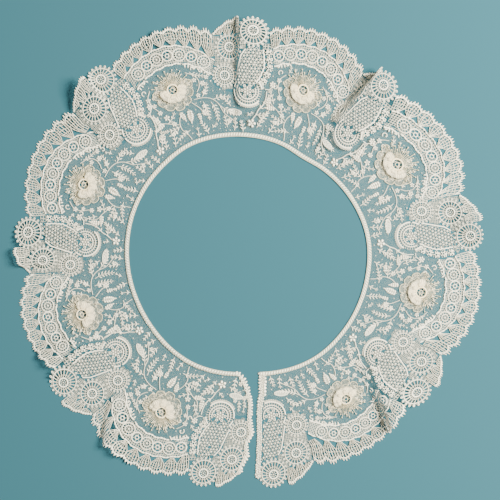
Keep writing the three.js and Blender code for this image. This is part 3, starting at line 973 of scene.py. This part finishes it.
def dense_ring(middle, reach):
    """A ring of close rows: two rounds of openwork between cords, about a knob."""
    outer = fan_grid(middle, reach * np.array([0.56, 0.95]), np.arange(0, 360, 30.0))
    inner = fan_grid(middle, reach * np.array([0.2, 0.48]), np.arange(0, 360, 60.0))
    return [
        rings(middle, reach * 0.97, width=0.9, height=0.8, sides=20, close=0.95),
        openwork(raised(outer, 0.45), across=0.7, along=0.84, closed=True, close=0.45),
        rings(middle, reach * 0.53, width=0.75, height=0.75, sides=14, close=0.95),
        openwork(raised(inner, 0.45), across=0.7, along=0.7, closed=True, close=0.45),
        knobs(middle, reach * 0.34, rise=0.7),
    ]


def open_ring(middle, reach):
    """A ring left open about a tiny wheel, which thin bars hold."""
    spokes = toward(np.arange(6) * 60.0)[:, None] * np.array([0.3, 0.95])[:, None] * reach
    return [
        rings(middle, reach, width=1.1, height=0.8, sides=18, close=0.95),
        cords(np.array(middle) + spokes, width=0.4, height=0.3, close=0.6),
        rings(middle, reach * 0.36, width=0.9, height=0.6, sides=9, close=0.9),
    ]


def looped_cords(panel):
    """The thick cords along both sides of the chain, which swell out and in by a cosine with
    its rings, and are knobbed by another."""
    works = []
    fine = np.arange(*CHAIN_SPAN, 0.15)
    wave = 0.5 * np.cos(2 * np.pi * (fine + CHAIN_SHIFT) / CHAIN_PITCH)
    for side, width in ((-1, 1.4), (1, 1.15)):
        line = (arch(fine) + side * (CHAIN_HALF + wave))[:, None] * toward(fine)
        knobbed = width * (1 + 0.3 * np.cos(np.arange(len(fine)) * 1.05))
        shown = (panel.room(line) > 0.15) & (within(line) < 1)
        works += cord_runs(line, shown, knobbed, height=0.95)
    return works


def barbs(panel):
    """Barbs of close thread that stand in over the net from the chain's inner cord, each at its
    own lean."""
    headings = np.arange(-13.5, 15, 0.85)
    lean = 50 * np.cos(np.arange(len(headings)) * 2.4)
    foot = (arch(headings) - CHAIN_HALF - 2.2)[:, None] * toward(headings)
    shown = (panel.room(foot) > 1.8) & (within(foot) < 4)
    if not shown.any():
        return []
    heading = 180 + headings[shown] + lean[shown]
    return [pads(foot[shown], heading, length=4.2, width=1.5, rise=0.6, sides=7)]


def chain(whole, panel):
    """The ringed chain as far as it lies in one panel: rings by turns dense and open, with
    close openwork between them, and its cords and barbs."""
    place = np.arange(-5, 6)
    headings = place * CHAIN_PITCH - CHAIN_SHIFT
    reach = np.where(place % 2, OPEN_REACH, DENSE_REACH)
    middles = arch(headings)[:, None] * toward(headings)
    fits = whole.room(middles) > reach * 0.8
    here = fits & (panel.room(middles) > 0)
    works = []
    for middle, size in zip(middles[here], reach[here]):
        works += dense_ring(middle, size) if size == DENSE_REACH else open_ring(middle, size)

    headings = np.arange(CHAIN_SPAN[0], CHAIN_SPAN[1] + 0.01, 0.62)
    offsets = np.linspace(-CHAIN_HALF, CHAIN_HALF, 9)[:, None]
    grid = (arch(headings) + offsets)[..., None] * toward(headings)
    cells = mesh_middles(grid)
    between = (panel.room(cells) > 0.7) & (within(cells) < 0)
    for middle, size in zip(middles[fits], reach[fits]):
        between &= np.linalg.norm(cells - middle, axis=-1) > size * 0.92
    works.append(openwork(raised(grid, 0.4), across=0.7, along=0.7, keep=between, close=0.45))
    return works + looped_cords(panel) + barbs(panel)


def clear_of(points, works, gap):
    """Which flat points keep a gap from every point of some works, cell by cell: the works'
    points and their neighbours are marked on a grid as fine as the gap."""
    taken = np.concatenate([work[0][:, :2] for work in works])
    low = taken.min(axis=0) - 4 * gap
    size = ((taken.max(axis=0) - low) / gap).astype(int) + 8
    marked = np.zeros(size, bool)
    for step in np.stack(np.meshgrid((-1, 0, 1), (-1, 0, 1)), axis=-1).reshape(-1, 2):
        cell = ((taken - low) / gap).astype(int) + step
        marked[cell[:, 0], cell[:, 1]] = True
    cell = np.clip(((points - low) / gap).astype(int), 0, size - 1)
    return ~marked[cell[..., 0], cell[..., 1]]


ROW_STEP = 0.87  # from row to row of a pattern set over by half its pitch in every other row


def strewn(panel, low, high, pitch, works, gap):
    """Places in rows a little out of true over what is left of the net, clear of the works."""
    rows = int((high[1] - low[1]) / pitch / ROW_STEP)
    row, column = np.mgrid[:rows, :int((high[0] - low[0]) / pitch)]
    places = np.stack([column + 0.5 * (row % 2), row * ROW_STEP], axis=-1)
    places = places.reshape(-1, 2) * pitch + low
    places += uneven.normal(0, 0.1 * pitch, places.shape)
    inside = (panel.room(places) > 1.1 * gap) & (within(places) > gap)
    return places[inside & clear_of(places, works, gap)]


def sprigs(panel, low, high, works):
    """Short sprigs of two pairs of leaflets, wherever the net is still bare."""
    made = []
    for middle in strewn(panel, low, high, pitch=7.0, works=works, gap=2.2):
        way = toward(uneven.uniform(110, 250)) * uneven.uniform(2.2, 2.9)
        made += frond(middle + way, middle - way, uneven.uniform(-0.6, 0.6), 2.9)
    return made


def dots(panel, low, high, works):
    """Dots in the gaps that are left between the sprays."""
    places = strewn(panel, low, high, pitch=6.0, works=works, gap=1.2)
    size = uneven.uniform(0.9, 1.3, len(places))
    return pads(places, uneven.uniform(0, 180, len(places)), size, size * 0.85, rise=0.6, sides=6)


NET_START = NECK_RADIUS + TAPE_WIDTH + SEAM
ROSE_RADIUS = 173.0
HEART_RADIUS = 10.0  # where the net is cut away beneath a rose
FIRST_CORNER, LAST_CORNER = 162, 146  # how far out each corner of net reaches
# The net thread's open colour is painted shade, which the fine net and the thin threads take.
net_thread = cotton("net and spray thread", (0.32, 0.34, 0.27, 1), CREAM)


def far_turn(turn):
    """The seam of a corner that has only a front band on one side: a turn beyond the band."""
    return lambda radius: np.full_like(radius, turn)


for number in range(len(REPEATS) + 1):
    first, last = number == 0, number == len(REPEATS)
    start = far_turn(-90.0) if first else seam(number - 1, BAND)
    end = far_turn(450.0) if last else seam(number, WHEELS)
    if first or last:
        axis = REPEATS[0 if first else -1][0]
        panel = Panel(axis, start, end, NET_START, FIRST_CORNER if first else LAST_CORNER)
        works = spray(CORNER_SPRAY) if first else spray(HEAD_SPRAY, HEAD_STEMS)
        across = (-30.0, 30.0)
    else:
        head, axis = REPEATS[number - 1]
        panel = Panel(axis, start, end, NET_START, CHAIN_RADIUS - SEAM / 2)
        works = spray(ROSE_SPRAY, ROSE_STEMS, stem_width=0.7, stem_close=0.8)
        works += swung(spray(HEAD_SPRAY, HEAD_STEMS), head - axis)
        works += swung(spray(BEADED_SPRAY, BEADED_STEMS), REPEATS[number][0] - axis)
        across = (-75.0, 80.0)
    works = panel.holding(works, over=0.6)
    if not first and not last:
        works += chain(Panel(axis, start, end, NET_START, BORDER_LOBE), panel)
    low, high = (across[0], 104.0), (across[1], panel.shape + 2)
    if works:
        works += sprigs(panel, low, high, works)
        works.append(dots(panel, low, high, works))

    def netted(knots):
        """Where the net is: in the panel, inside the chain, and not under a rose's heart."""
        inside = panel.room(knots) > -0.3
        if first or last:
            return inside
        heart = np.linalg.norm(knots - (0, ROSE_RADIUS), axis=-1) > HEART_RADIUS
        return inside & heart & (within(knots) > 0)

    works.append(net(netted, low, high))
    made = make_piece(f"net_ground_{number}", axis, works)
    if last:  # a sliver too narrow to be given a cut of its own, beside the bell
        sew_on(made, f"ground_{number}", net_thread)
    else:
        width, length, area = panel.cut()
        if not first:
            area -= np.pi * HEART_RADIUS ** 2
        sew_on(made, f"ground_{number}", net_thread, (width, length, area))


# --- Ringed border ---------------------------------------------------------------------------
# Needlepoint worked in one with the net: the crown of the ringed chain over each rose, and
# outside it nine pleated fans side by side, whose picots make the spiky edge of the scallop.
# The fans meet the chain only at their feet, so that a row of openings is left between them.

FANS = 9
OPEN_WORK_PAINTED_SHADE = (0.2, 0.205, 0.155, 1)  # painted shade: the darker colour that open work in the fillings takes
border_thread = cotton("ringed border thread", OPEN_WORK_PAINTED_SHADE, CREAM)


def pleated_fan(spread):
    """A fan of close rows, from `spread`, which gives flat points for shares across (-1 to 1)
    and along (0 to 1): openwork drawn out from the foot, raised ribs along it, a cord round
    its tip, and picots, which are little rings and prongs that stand out from the edge."""
    across, along = np.meshgrid(np.linspace(-1, 1, 6), np.array([0, 0.22, 0.42, 0.62, 0.81, 1]))
    across[:, 1:-1] += uneven.uniform(-0.12, 0.12, (6, 4))
    along[1:-1] += uneven.uniform(-0.08, 0.08, (4, 6))
    ribs = np.swapaxes(spread(0.97 * across, along), 0, 1)
    tip = spread(np.linspace(-1, 1, 9), 1.0)
    picots = np.array([-0.8, -0.4, 0, 0.4, 0.8])
    heading = headings_of(spread(np.zeros(4), np.linspace(0.4, 1, 4)))[-1]
    return [
        openwork(raised(spread(across, along), 0.35), across=0.72, along=0.74, close=0.45),
        cords(ribs, width=0.5, height=0.8),
        cords(tip, width=0.95, height=0.75, close=1.0),
        rings(spread(picots, 1.04), radius=0.75, width=0.65, height=0.6, sides=7, close=0.95),
        pads(spread(picots, 1.12), heading, length=3.2, width=1.0, rise=0.6, sides=6),
    ]


def border_fan(panel, number):
    """Where a point of one of the border's fans is: its foot on the chain, its tip on the
    panel's edge, and a fifth as wide at the foot as from half its length on, but for the sides
    that lie along a seam."""
    def spread(across, along):
        narrow = np.minimum(1, 0.2 + 1.75 * along)
        at_seam = across < 0 if number == 0 else (across > 0) & (number == FANS - 1)
        narrow = np.where(at_seam, 1, narrow)
        share = (number + 0.5) / FANS + across / (2 * FANS) * narrow
        share = np.clip(share, 0.004, 0.996)
        radius = 215.0  # near enough to begin with; the turn and the radius are then worked out
        for _ in range(3):
            turn = panel.first(radius) + share * (panel.last(radius) - panel.first(radius))
            foot = np.maximum(arch(turn - panel.axis) + CHAIN_HALF + 0.6, CHAIN_RADIUS + 1)
            reach = panel.outer(share) - foot - 0.8
            radius = foot + along * reach * (1 - 0.2 * across ** 2 * along)
        return radius[..., None] * toward(turn - panel.axis)
    return spread


for number in range(1, len(REPEATS)):
    axis = REPEATS[number - 1][1]
    start, end = seam(number - 1, BAND), seam(number, WHEELS)
    panel = Panel(axis, start, end, CHAIN_RADIUS + SEAM / 2, BORDER_LOBE)
    works = chain(Panel(axis, start, end, NET_START, BORDER_LOBE), panel)
    for fan in range(FANS):
        works += pleated_fan(border_fan(panel, fan))

    def netted_inside(knots):
        """The strip of net between the panel's inner edge and the chain."""
        return (within(knots) > 0) & (panel.room(knots) > -0.3)

    works.append(net(netted_inside, (-75.0, 180.0), (80.0, 206.0)))
    made = make_piece(f"border_{number}_ringed", axis, works)
    sew_on(made, f"border_{number}", border_thread, panel.cut())


# --- Bells -----------------------------------------------------------------------------------
# The bell-shaped filling of each medallion, all needlepoint: a round head with a flower in
# rings of close rows, and a body of tiny worked rings, edged along the border by a scalloped
# cord and a row of eyelet flowers among hooks.

HEAD_MIDDLE = (1.0, 163.5)
HEAD_RADIUS = 14.0
HEAD_FLOWER = 7.6  # the radius that its flower takes up
HEAD_OPEN = 48  # degrees to either side of its axis where the body runs in to the flower
BODY_END = 206
BELL_LOW, BELL_HIGH = 143.9, 212.0  # the radii where its panel begins and ends
BELL_BOX = ((-15.0, 166.0), (32.0, 213.0))  # what its openwork fills, and the net by its head
HEAD_BOX = ((-16.0, 142.0), (22.0, 173.0))
FLOWER_PITCH = 7.3  # from one flower of the band to the next
BODY_PITCH = 3.4  # from one ring of the body to the next
# Where the body of rings ends and the band of flowers begins: distance across, by radius.
BODY_EDGE = np.array([(165, 8), (176, 12), (188, 17), (198, 18), (212, 17)])
# The rounds about the head. Those of cord have their reach, the headings they run from and to,
# a width and a height, and those of openwork two reaches, the headings and their pitch.
HEAD_CORDS = [(8.0, 70, 290, 0.9, 0.7), (10.6, 60, 300, 0.8, 0.7), (HEAD_RADIUS, 50, 310, 1.4, 1)]
HEAD_OPENWORK = [(6.3, 7.8, 72, 288, 24), (8.3, 10.4, 66, 294, 14.25), (10.9, 13.5, 56, 304, 11.27)]
bell_thread = cotton("bell filling thread", OPEN_WORK_PAINTED_SHADE, CREAM)


def head_flower():
    """The flower in a bell's head: petals about a knob within a ring of knots, on thin bars."""
    middle, petals = np.array(HEAD_MIDDLE), np.arange(6) * 60.0
    between = petals + 30
    bars = toward(np.append(petals, between))[:, None] * np.array([0.5, 4.6])[:, None]
    knots = middle + toward(between) * 5.2
    return [
        cords(middle + bars, width=0.35, height=0.25, close=0.4),
        knobs(middle, across=1.7, rise=0.8, sides=8),
        pads(middle + toward(petals) * 2.9, petals, length=2.7, width=1.9, rise=0.6, sides=7),
        rings(knots, radius=1.1, width=0.65, height=0.6, sides=8, close=0.95),
    ]


def head_rounds(panel):
    """Over the neck side of the head, rounds of cord with openwork drawn in between, the
    outermost thick and with picots, all as far as they lie in the panel."""
    middle, works = np.array(HEAD_MIDDLE), []
    for reach, first, last, width, height in HEAD_CORDS:
        line = middle + reach * toward(np.linspace(first, last, 60))
        works += cord_runs(line, panel.room(line) > 0.8, width, height)
    for inner, outer, first, last, pitch in HEAD_OPENWORK:
        grid = fan_grid(middle, (inner, outer), np.arange(first, last + 1, pitch))
        keep = panel.room(mesh_middles(grid)) > 1
        works.append(openwork(raised(grid, 0.45), across=0.7, along=0.88, keep=keep, close=0.5))
    picots = middle + toward(np.arange(52, 309, 8.0)) * (HEAD_RADIUS + 1.6)
    picots = picots[panel.room(picots) > 0.2]
    return works + [rings(picots, radius=0.75, width=0.55, height=0.5, sides=7)]


def in_bell(points):
    """Which flat points are in the bell's head or body, and not in its band of flowers."""
    edge = np.interp(points[..., 1], BODY_EDGE[:, 0], BODY_EDGE[:, 1])
    return (points[..., 0] < edge) & (points[..., 1] < BODY_END)


def in_body(points):
    """Which flat points are in the body alone, clear of the head's flower and its rounds."""
    x, y = points[..., 0] - HEAD_MIDDLE[0], points[..., 1] - HEAD_MIDDLE[1]
    below = np.degrees(np.abs(np.arctan2(x, y))) < HEAD_OPEN
    return in_bell(points) & (np.hypot(x, y) > np.where(below, HEAD_FLOWER, HEAD_RADIUS + 2))


def eyelet_flower(middle, reach, turned):
    """A flower of five close petals about an open eyelet, with a knob between every two."""
    headings = turned + np.arange(5) * 72.0
    petals = middle + toward(headings) * reach * 0.74
    between = middle + toward(headings + 36) * reach
    return [
        rings(middle, radius=1.35, width=0.6, height=0.75, close=1.0),
        pads(petals, headings, reach * 0.66, reach * 0.46, rise=0.7, sides=7, lean=-0.2),
        knobs(between, across=1.0, rise=0.6, sides=6, close=0.9),
    ]


def spaced_along(line, pitch):
    """Points on a line every so far along it, and the line's heading at each."""
    along = np.concatenate([[0], np.cumsum(np.linalg.norm(np.diff(line, axis=0), axis=1))])
    return on_line(np.arange(pitch / 2, along[-1], pitch), along, line)


def inset_line(turns, axis, inset, low, high):
    """A line `inset` to one side of a seam of the cut, from one radius to another."""
    radius = np.arange(low, high, 1.0)
    turn = turns(radius) + np.degrees(inset / radius) - axis
    return radius[:, None] * toward(turn)


def background(panel, low, high, cells, works, gap, away):
    """Openwork of small square meshes wherever a box of flat points is inside the panel, clear
    of what is worked there already and outside the place that `away` marks. A mesh with fewer
    than two others beside it is left out."""
    x, y = np.arange(low[0], high[0], cells), np.arange(low[1], high[1], cells)
    grid = np.stack(np.meshgrid(x, y), axis=-1)
    grid += uneven.normal(0, 0.12 * cells, grid.shape)
    middles = mesh_middles(grid)
    keep = (panel.room(middles) > 0.45 * cells) & clear_of(middles, works, gap) & ~away(middles)
    for _ in range(2):
        kept = np.pad(keep.astype(int), 1)
        beside = kept[:-2, 1:-1] + kept[2:, 1:-1] + kept[1:-1, :-2] + kept[1:-1, 2:]
        keep &= beside > 1
    return openwork(raised(grid, 0.4), across=0.68, along=0.68, keep=keep, close=0.4)


def flower_band(panel, band_seam):
    """The band along the border's seam: a row of eyelet flowers, with a hook on either side of
    it between every two."""
    works = []
    line = inset_line(band_seam, panel.axis, -4.6, low=171, high=210)
    flowers, _ = spaced_along(line, FLOWER_PITCH)
    for middle in flowers[panel.room(flowers) > 3]:
        works += eyelet_flower(middle, reach=3.4, turned=uneven.uniform(0, 72))
    scrolls, headings = spaced_along(line, FLOWER_PITCH / 2)
    scrolls, headings = scrolls[1::2], headings[1::2]
    for middle, heading in zip(scrolls[panel.room(scrolls) > 3], headings):
        inside, outside = middle + toward(heading - 90) * 1.8, middle + toward(heading + 90) * 2.2
        works += hook(inside, reach=1.7, heading=heading, sweep=220)
        works += hook(outside, reach=1.5, heading=heading + 180, sweep=220)
    return works


def bell_cords(panel, bell_seam, band_seam):
    """A scalloped cord between the body and the band of flowers, and a straight one along the
    wheels' seam."""
    scallops = inset_line(band_seam, panel.axis, -9.3, low=172, high=206)
    wave = 0.7 * np.abs(np.sin(np.arange(len(scallops)) * np.pi / 4.0))[:, None]
    scallops = scallops + wave * toward(headings_of(scallops) - 90)
    straight = inset_line(bell_seam, panel.axis, 0.8, low=176, high=205)
    works = cord_runs(scallops, panel.room(scallops) > 0.5, width=1.2, height=0.65, close=0.95)
    room = panel.room(straight)
    return works + cord_runs(straight, room > 0.5, width=1.1, height=0.65, close=0.95)


def body_rings(panel, works):
    """The body's tiny close rings, in rows a little out of true wherever there is room, and the
    threads that tie each to those beside it."""
    row, column = np.mgrid[:17, :18]
    across, out = column - 7 + 0.5 * (row % 2), 165 + row * BODY_PITCH * ROW_STEP
    places = np.stack([across * BODY_PITCH, out], axis=-1).reshape(-1, 2)
    places += uneven.normal(0, 0.3, places.shape)
    room = panel.room(places)
    free = in_body(places) & (room > 1.0) & clear_of(places, works, 0.7)
    size = uneven.uniform(1.5, 2.0, free.sum())
    apart = np.linalg.norm(places[:, None] - places, axis=-1)
    tied = (apart < 1.4 * BODY_PITCH) & (free[:, None] | free) & (room[:, None] > 0.2)
    tied &= room > 0.2
    return [
        knobs(places[free], size, rise=0.7, lean=0),
        cords(places[np.argwhere(np.triu(tied, 1))], width=0.45, height=0.35, close=0.4),
    ]


for number in range(1, len(REPEATS) + 1):
    axis = REPEATS[number - 1][0]
    bell_seam, band_seam = seam(number - 1, BELL), seam(number - 1, BAND)
    panel = Panel(axis, bell_seam, band_seam, BELL_LOW, BELL_HIGH - SEAM / 2)
    works = head_flower() + flower_band(panel, band_seam)
    works += bell_cords(panel, bell_seam, band_seam)
    works = panel.holding(works, over=1.3) + head_rounds(panel)
    works += body_rings(panel, works)
    works.append(background(panel, *BELL_BOX, cells=2.6, works=works, gap=0.5, away=in_bell))
    works.append(background(panel, *BELL_BOX, cells=1.6, works=works, gap=0.35, away=in_bell))

    def netted_head(knots):
        """The net over and beside the head, as far as its thick cord."""
        outside = np.linalg.norm(knots - HEAD_MIDDLE, axis=-1) > HEAD_RADIUS + 0.5
        return outside & (knots[..., 1] < 172) & (panel.room(knots) > -0.3)

    works.append(net(netted_head, *HEAD_BOX))
    made = make_piece(f"bell_{number}_filling", axis, works)
    sew_on(made, f"bell_{number}", bell_thread, panel.cut())


# --- Wheels ----------------------------------------------------------------------------------
# The other part of each medallion: three wheels of needlepoint rows set about a ring of dots,
# two down its side and one at the tip of the scallop, with small fans along the edge between.

WHEELS_LOW = 164.3  # the radius where its panel begins
WHEELS_PLACES = [  # middle, radius, and how far out from the middle its ring is set
    ((-22.7, 177.5), 12.0, 0.0), ((-18.0, 205.2), 14.3, 0.5), ((7.7, 220.9), 14.6, 1.5),
]
WHEELS_BOX = ((-40.0, 163.0), (27.0, 237.0))
SPOKES = 20
DOTS = 7
EDGE_FANS = [-35.5, -25.5, -15.0, -6.0]  # across, where each fan along the edge ends
FAN_FOOT, FAN_MIDDLE = 219.5, 226.0  # their radii
FILLED_TO = 222  # radius beyond which nothing fills the gaps between wheels and fans
wheel_thread = cotton("wheel filling thread", OPEN_WORK_PAINTED_SHADE, CREAM)


def wheel(middle, reach, ring_out):
    """A wheel: dots in a ring of thick cord, rows drawn out from it between raised spokes to a
    cord, and a rim of close scallops with a picot on each."""
    middle = np.array(middle)
    hub = middle + (0, ring_out)
    headings = np.arange(SPOKES) * 360 / SPOKES
    radii = np.array([4.5, 7.0, reach - 3.0])
    share = (radii - radii[0]) / (radii[-1] - radii[0])
    centres = hub + (middle - hub) * share[:, None]
    rows = centres[:, None] + radii[:, None, None] * toward(headings)
    rim = fan_grid(middle, (reach - 2.7, reach - 1.4), headings)
    dots_round = toward(np.arange(DOTS) * 360 / DOTS) * 2.4
    bars = dots_round[:, None] * np.array([0.1, 1.7])[:, None]
    dots = np.vstack([[hub], hub + dots_round])
    picots = middle + toward(headings) * (reach - 0.7)
    return [
        knobs(dots, across=1.2, rise=0.6, sides=6),
        cords(hub + bars, width=0.3, height=0.25, close=0.3),
        rings(hub, radius=4.3, width=1.3, height=0.95, sides=22, close=1.0),
        openwork(raised(rows, 0.4), across=0.66, along=0.8, closed=True, close=0.5),
        cords(np.stack([rows[0], rows[-1]], axis=1), width=0.45, height=0.6),
        rings(middle, reach - 2.9, width=0.8, height=0.65, sides=36),
        openwork(raised(rim, 0.4), across=0.62, along=0.62, closed=True, close=0.5),
        rings(picots, radius=0.75, width=0.6, height=0.5, sides=7, close=0.9),
    ]


def edge_fan(panel, first, last):
    """Where a point of a fan along the scallop's edge is: across from one distance to the
    other, from just outside the wheel to the panel's edge."""
    def spread(across, along):
        narrow = np.minimum(1, 0.6 + 0.9 * along)
        x = (first + last) / 2 + across * narrow * (last - first) / 2
        turn = panel.axis + np.degrees(np.arctan2(x, FAN_MIDDLE))
        edge = panel.outer(panel.share(turn, FAN_MIDDLE)) - 0.8
        radius = FAN_FOOT + along * (edge - FAN_FOOT) * (1 - 0.13 * across ** 2 * along)
        turn = np.maximum(turn, panel.first(radius) + 0.15 + 0.02 * across)
        turn = np.minimum(turn, panel.last(radius) - 0.15 + 0.02 * across)
        return radius[..., None] * toward(turn - panel.axis)
    return spread


def unfilled(points):
    """Which flat points are in a wheel, or out at the rim, where nothing fills the gaps."""
    filled = np.hypot(points[..., 0], points[..., 1]) < FILLED_TO
    for middle, reach, _ in WHEELS_PLACES:
        filled &= np.linalg.norm(points - middle, axis=-1) > reach - 0.6
    return ~filled


for number in range(1, len(REPEATS) + 1):
    axis = REPEATS[number - 1][0]
    wheels_seam, bell_seam = seam(number - 1, WHEELS), seam(number - 1, BELL)
    panel = Panel(axis, wheels_seam, bell_seam, WHEELS_LOW, WHEEL_LOBE)
    works = []
    for first, last in zip(EDGE_FANS[:-1], EDGE_FANS[1:]):
        works += pleated_fan(edge_fan(panel, first, last))
    works.append(background(panel, *WHEELS_BOX, cells=1.7, works=works, gap=0.5, away=unfilled))
    for middle, reach, ring_out in WHEELS_PLACES:
        works += wheel(middle, reach, ring_out)
    made = make_piece(f"wheels_{number}_filling", axis, works)
    sew_on(made, f"wheels_{number}", wheel_thread, panel.cut())


# --- Roses -----------------------------------------------------------------------------------
# A rose in relief over each stretch of net, sewn down by its middle: a tiny wheel in a padded
# ring, two rounds of solid ribbed petals lying towards the neck, loose gauze petals round
# them, and stamens with knobs that fan out towards the chain.

ROSE_EYE = np.array([0.0, 177.0])
ROSE_LIFT = 1.9
RING_REACH = 5.2
PETALS_CUT = (40.0, 42.0)  # what it covers when it is pressed flat
# The rounds of solid petals: how far out their feet are, their length and width, how high they
# lie over the outermost, the first one's heading, the turn from one to the next, and how many.
PETAL_ROUNDS = [(5.2, 9.0, 8.6, 0.0, 100, 23, 8), (5.0, 5.2, 4.6, 0.35, 88, 23, 9)]
RIBS = 4  # along each solid petal
GAUZE_PETALS = [  # heading, and how far out each reaches
    (90, 20), (120, 20), (150, 21), (180, 22), (210, 21), (240, 20), (270, 20),
]
STAMENS = np.arange(-95, 96, 7.3)  # their headings
# The rose thread's open colour is painted shade, taken by the petals' rims and valleys, the gauze
# and the thin bars.
rose_thread = cotton(
    "rose petal thread", (0.36, 0.35, 0.26, 1), (0.94, 0.8, 0.49, 1), lumps_mm=0.6,
    lump_depth_mm=0.25,
)


def petal(foot, heading, length, width, low):
    """A solid petal: sections across it from foot to tip, each half as wide as the root of a
    sine makes it, ribbed above and flat below. Its colour is given painted shade towards its rim,
    where the petals meet, and in the valleys between lumps that stand in rows, each row set over
    from the last."""
    t = np.linspace(0.04, 0.97, 8)
    half = width / 2 * np.sqrt(np.sin(np.pi * t ** 1.5))
    across = np.append(np.linspace(1, -1, 4 * RIBS + 1), [-0.9, 0.9])
    under = np.arange(len(across)) > 4 * RIBS
    rib = np.where(under, 0.0, 0.25 + 0.22 * np.cos(across * np.pi * RIBS))
    bulge = np.where(under, 0.0, 0.4 * np.maximum(0, 1 - across ** 2) ** 0.5)
    high = low + rib + bulge * np.sin(np.pi * t)[:, None]
    along = length * t[:, None] * (1 - 0.06 * across ** 2)
    flat = foot + along[..., None] * toward(heading)
    flat = flat + (half[:, None] * across)[..., None] * toward(heading + 90)
    points, faces = sleeve(raised(flat, high))
    # painted shade: darker towards the rim and tip, and in the valleys between the lumps
    rim = np.abs(across) ** 3 + (t ** 7)[:, None]
    row = np.arange(len(t))[:, None]
    between = 0.3 * (1 - np.cos(across * np.pi * RIBS + 2.2 * row)) * t[:, None] ** 0.3
    return points, faces, np.clip(1.05 - rim - between, 0, 1).ravel()


def gauze(foot, heading, inner, outer, spread, low, dip):
    """A gauze petal: openwork drawn out along its length from a narrow foot, with a notched
    edge, lying over the net and dipping towards it at its tip."""
    p, t = np.meshgrid(np.linspace(-1, 1, 13), np.linspace(0, 1, 4))
    lines = heading + p * spread * (0.45 + 0.55 * t ** 0.6)
    reach = inner + (outer - inner) * t * (1 - 0.25 * p ** 4)
    grid = raised(foot + reach[..., None] * toward(lines), low - dip * t)
    edge = grid[-1]
    return [
        openwork(grid, across=0.79, along=0.93, close=0.55),
        cords(edge[:, :2], width=0.4, height=0.35, low=edge[:, 2].mean(), close=0.9),
    ]


def padded_ring():
    """The rose's middle: a tiny wheel, and the bars that tie it into the padded ring."""
    bars = toward(np.arange(6) * 60.0)[:, None] * np.array([1.9, 4.8])[:, None]
    return [
        rings(ROSE_EYE, RING_REACH, width=1.4, height=1.0, low=ROSE_LIFT - 0.2, sides=24, close=1),
        rings(ROSE_EYE, radius=1.9, width=0.6, height=0.5, low=ROSE_LIFT),
        cords(ROSE_EYE + bars, width=0.3, height=0.35, low=ROSE_LIFT, close=0.4),
    ]


def stamens():
    """Threads that fan out from the padded ring in three lengths by turns, each to a knob."""
    tips = 14.0 + 3.0 * (np.arange(len(STAMENS)) * 2 % 3)
    reach = RING_REACH + np.linspace(0, 1, 4) * (tips - RING_REACH)[:, None]
    paths = ROSE_EYE + reach[..., None] * toward(STAMENS)[:, None]
    ends = ROSE_EYE + tips[:, None] * toward(STAMENS)
    return [
        cords(paths, width=0.32, height=0.5, low=1.0, close=0.9),
        pads(ends, STAMENS, length=1.7, width=1.1, rise=0.8, low=0.9),
    ]


for number in range(1, len(REPEATS)):
    works = []
    for heading, outer in GAUZE_PETALS:
        works += gauze(ROSE_EYE, heading, 6, outer, spread=15, low=ROSE_LIFT - 0.1, dip=0.9)
    for start, length, width, low, first, step, count in PETAL_ROUNDS:
        for place in range(count):
            heading = first + step * place
            foot = ROSE_EYE + toward(heading) * start
            lapped = ROSE_LIFT - 0.5 + low + 0.3 * (place % 2)
            works.append(petal(foot, heading, length, width, lapped))
    works += padded_ring() + stamens()
    made = make_piece(f"rose_{number}_petals", REPEATS[number - 1][1], works)
    sew_on(made, f"rose_{number}", rose_thread, (*PETALS_CUT, np.prod(PETALS_CUT)))


# --- Table, light and camera -----------------------------------------------------------------
# The bertha lies flat on a plain pale blue-green cloth, lit softly from the right, and is
# looked at from straight above.

TABLE_HALF = 6
table_material = bpy.data.materials.new("plain table cloth")
table_material.use_nodes = True
table_shader = table_material.node_tree.nodes["Principled BSDF"]
table_shader.inputs["Base Color"].default_value = (0.026, 0.09, 0.11, 1)
table_shader.inputs["Roughness"].default_value = 0.95
table_shader.inputs["Specular IOR Level"].default_value = 0.1
table_corners = TABLE_HALF * np.array([(-1, -1, 0), (1, -1, 0), (1, 1, 0), (-1, 1, 0)])
table_mesh = bpy.data.meshes.new("table")
table_mesh.from_pydata(table_corners.tolist(), [], [(0, 1, 2, 3)])
table_mesh.materials.append(table_material)
stand("table", table_mesh)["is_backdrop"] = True

KEY_AWAY = 2.0  # metres from the collar
KEY_TURN, KEY_RISE = np.radians(14), np.radians(37)  # from the right, a little from the back
key = bpy.data.lights.new("soft key", "AREA")
key.shape = "SQUARE"
key.size = 0.9
key.energy = 270
key.color = (1, 0.965, 0.9)
key_light = stand("soft key", key)
key_light.location = (
    KEY_AWAY * np.cos(KEY_RISE) * np.cos(KEY_TURN),
    KEY_AWAY * np.cos(KEY_RISE) * np.sin(KEY_TURN),
    KEY_AWAY * np.sin(KEY_RISE),
)
key_light.rotation_euler = (0, np.pi / 2 - KEY_RISE, KEY_TURN)

world = bpy.data.worlds.new("pale room")
world.use_nodes = True
world.node_tree.nodes["Background"].inputs["Color"].default_value = (0.95, 0.97, 1, 1)
world.node_tree.nodes["Background"].inputs["Strength"].default_value = 0.5
bpy.context.scene.world = world

FIELD_OF_VIEW = 0.5  # metres across at the table
CAMERA_HEIGHT = 1.6
camera = bpy.data.cameras.new("from above")
camera.sensor_width = 36
camera.lens = camera.sensor_width * CAMERA_HEIGHT / FIELD_OF_VIEW
bpy.context.scene.camera = stand("from above", camera)
bpy.context.scene.camera.location = (0.0016, 0.0019, CAMERA_HEIGHT)

low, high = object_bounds()
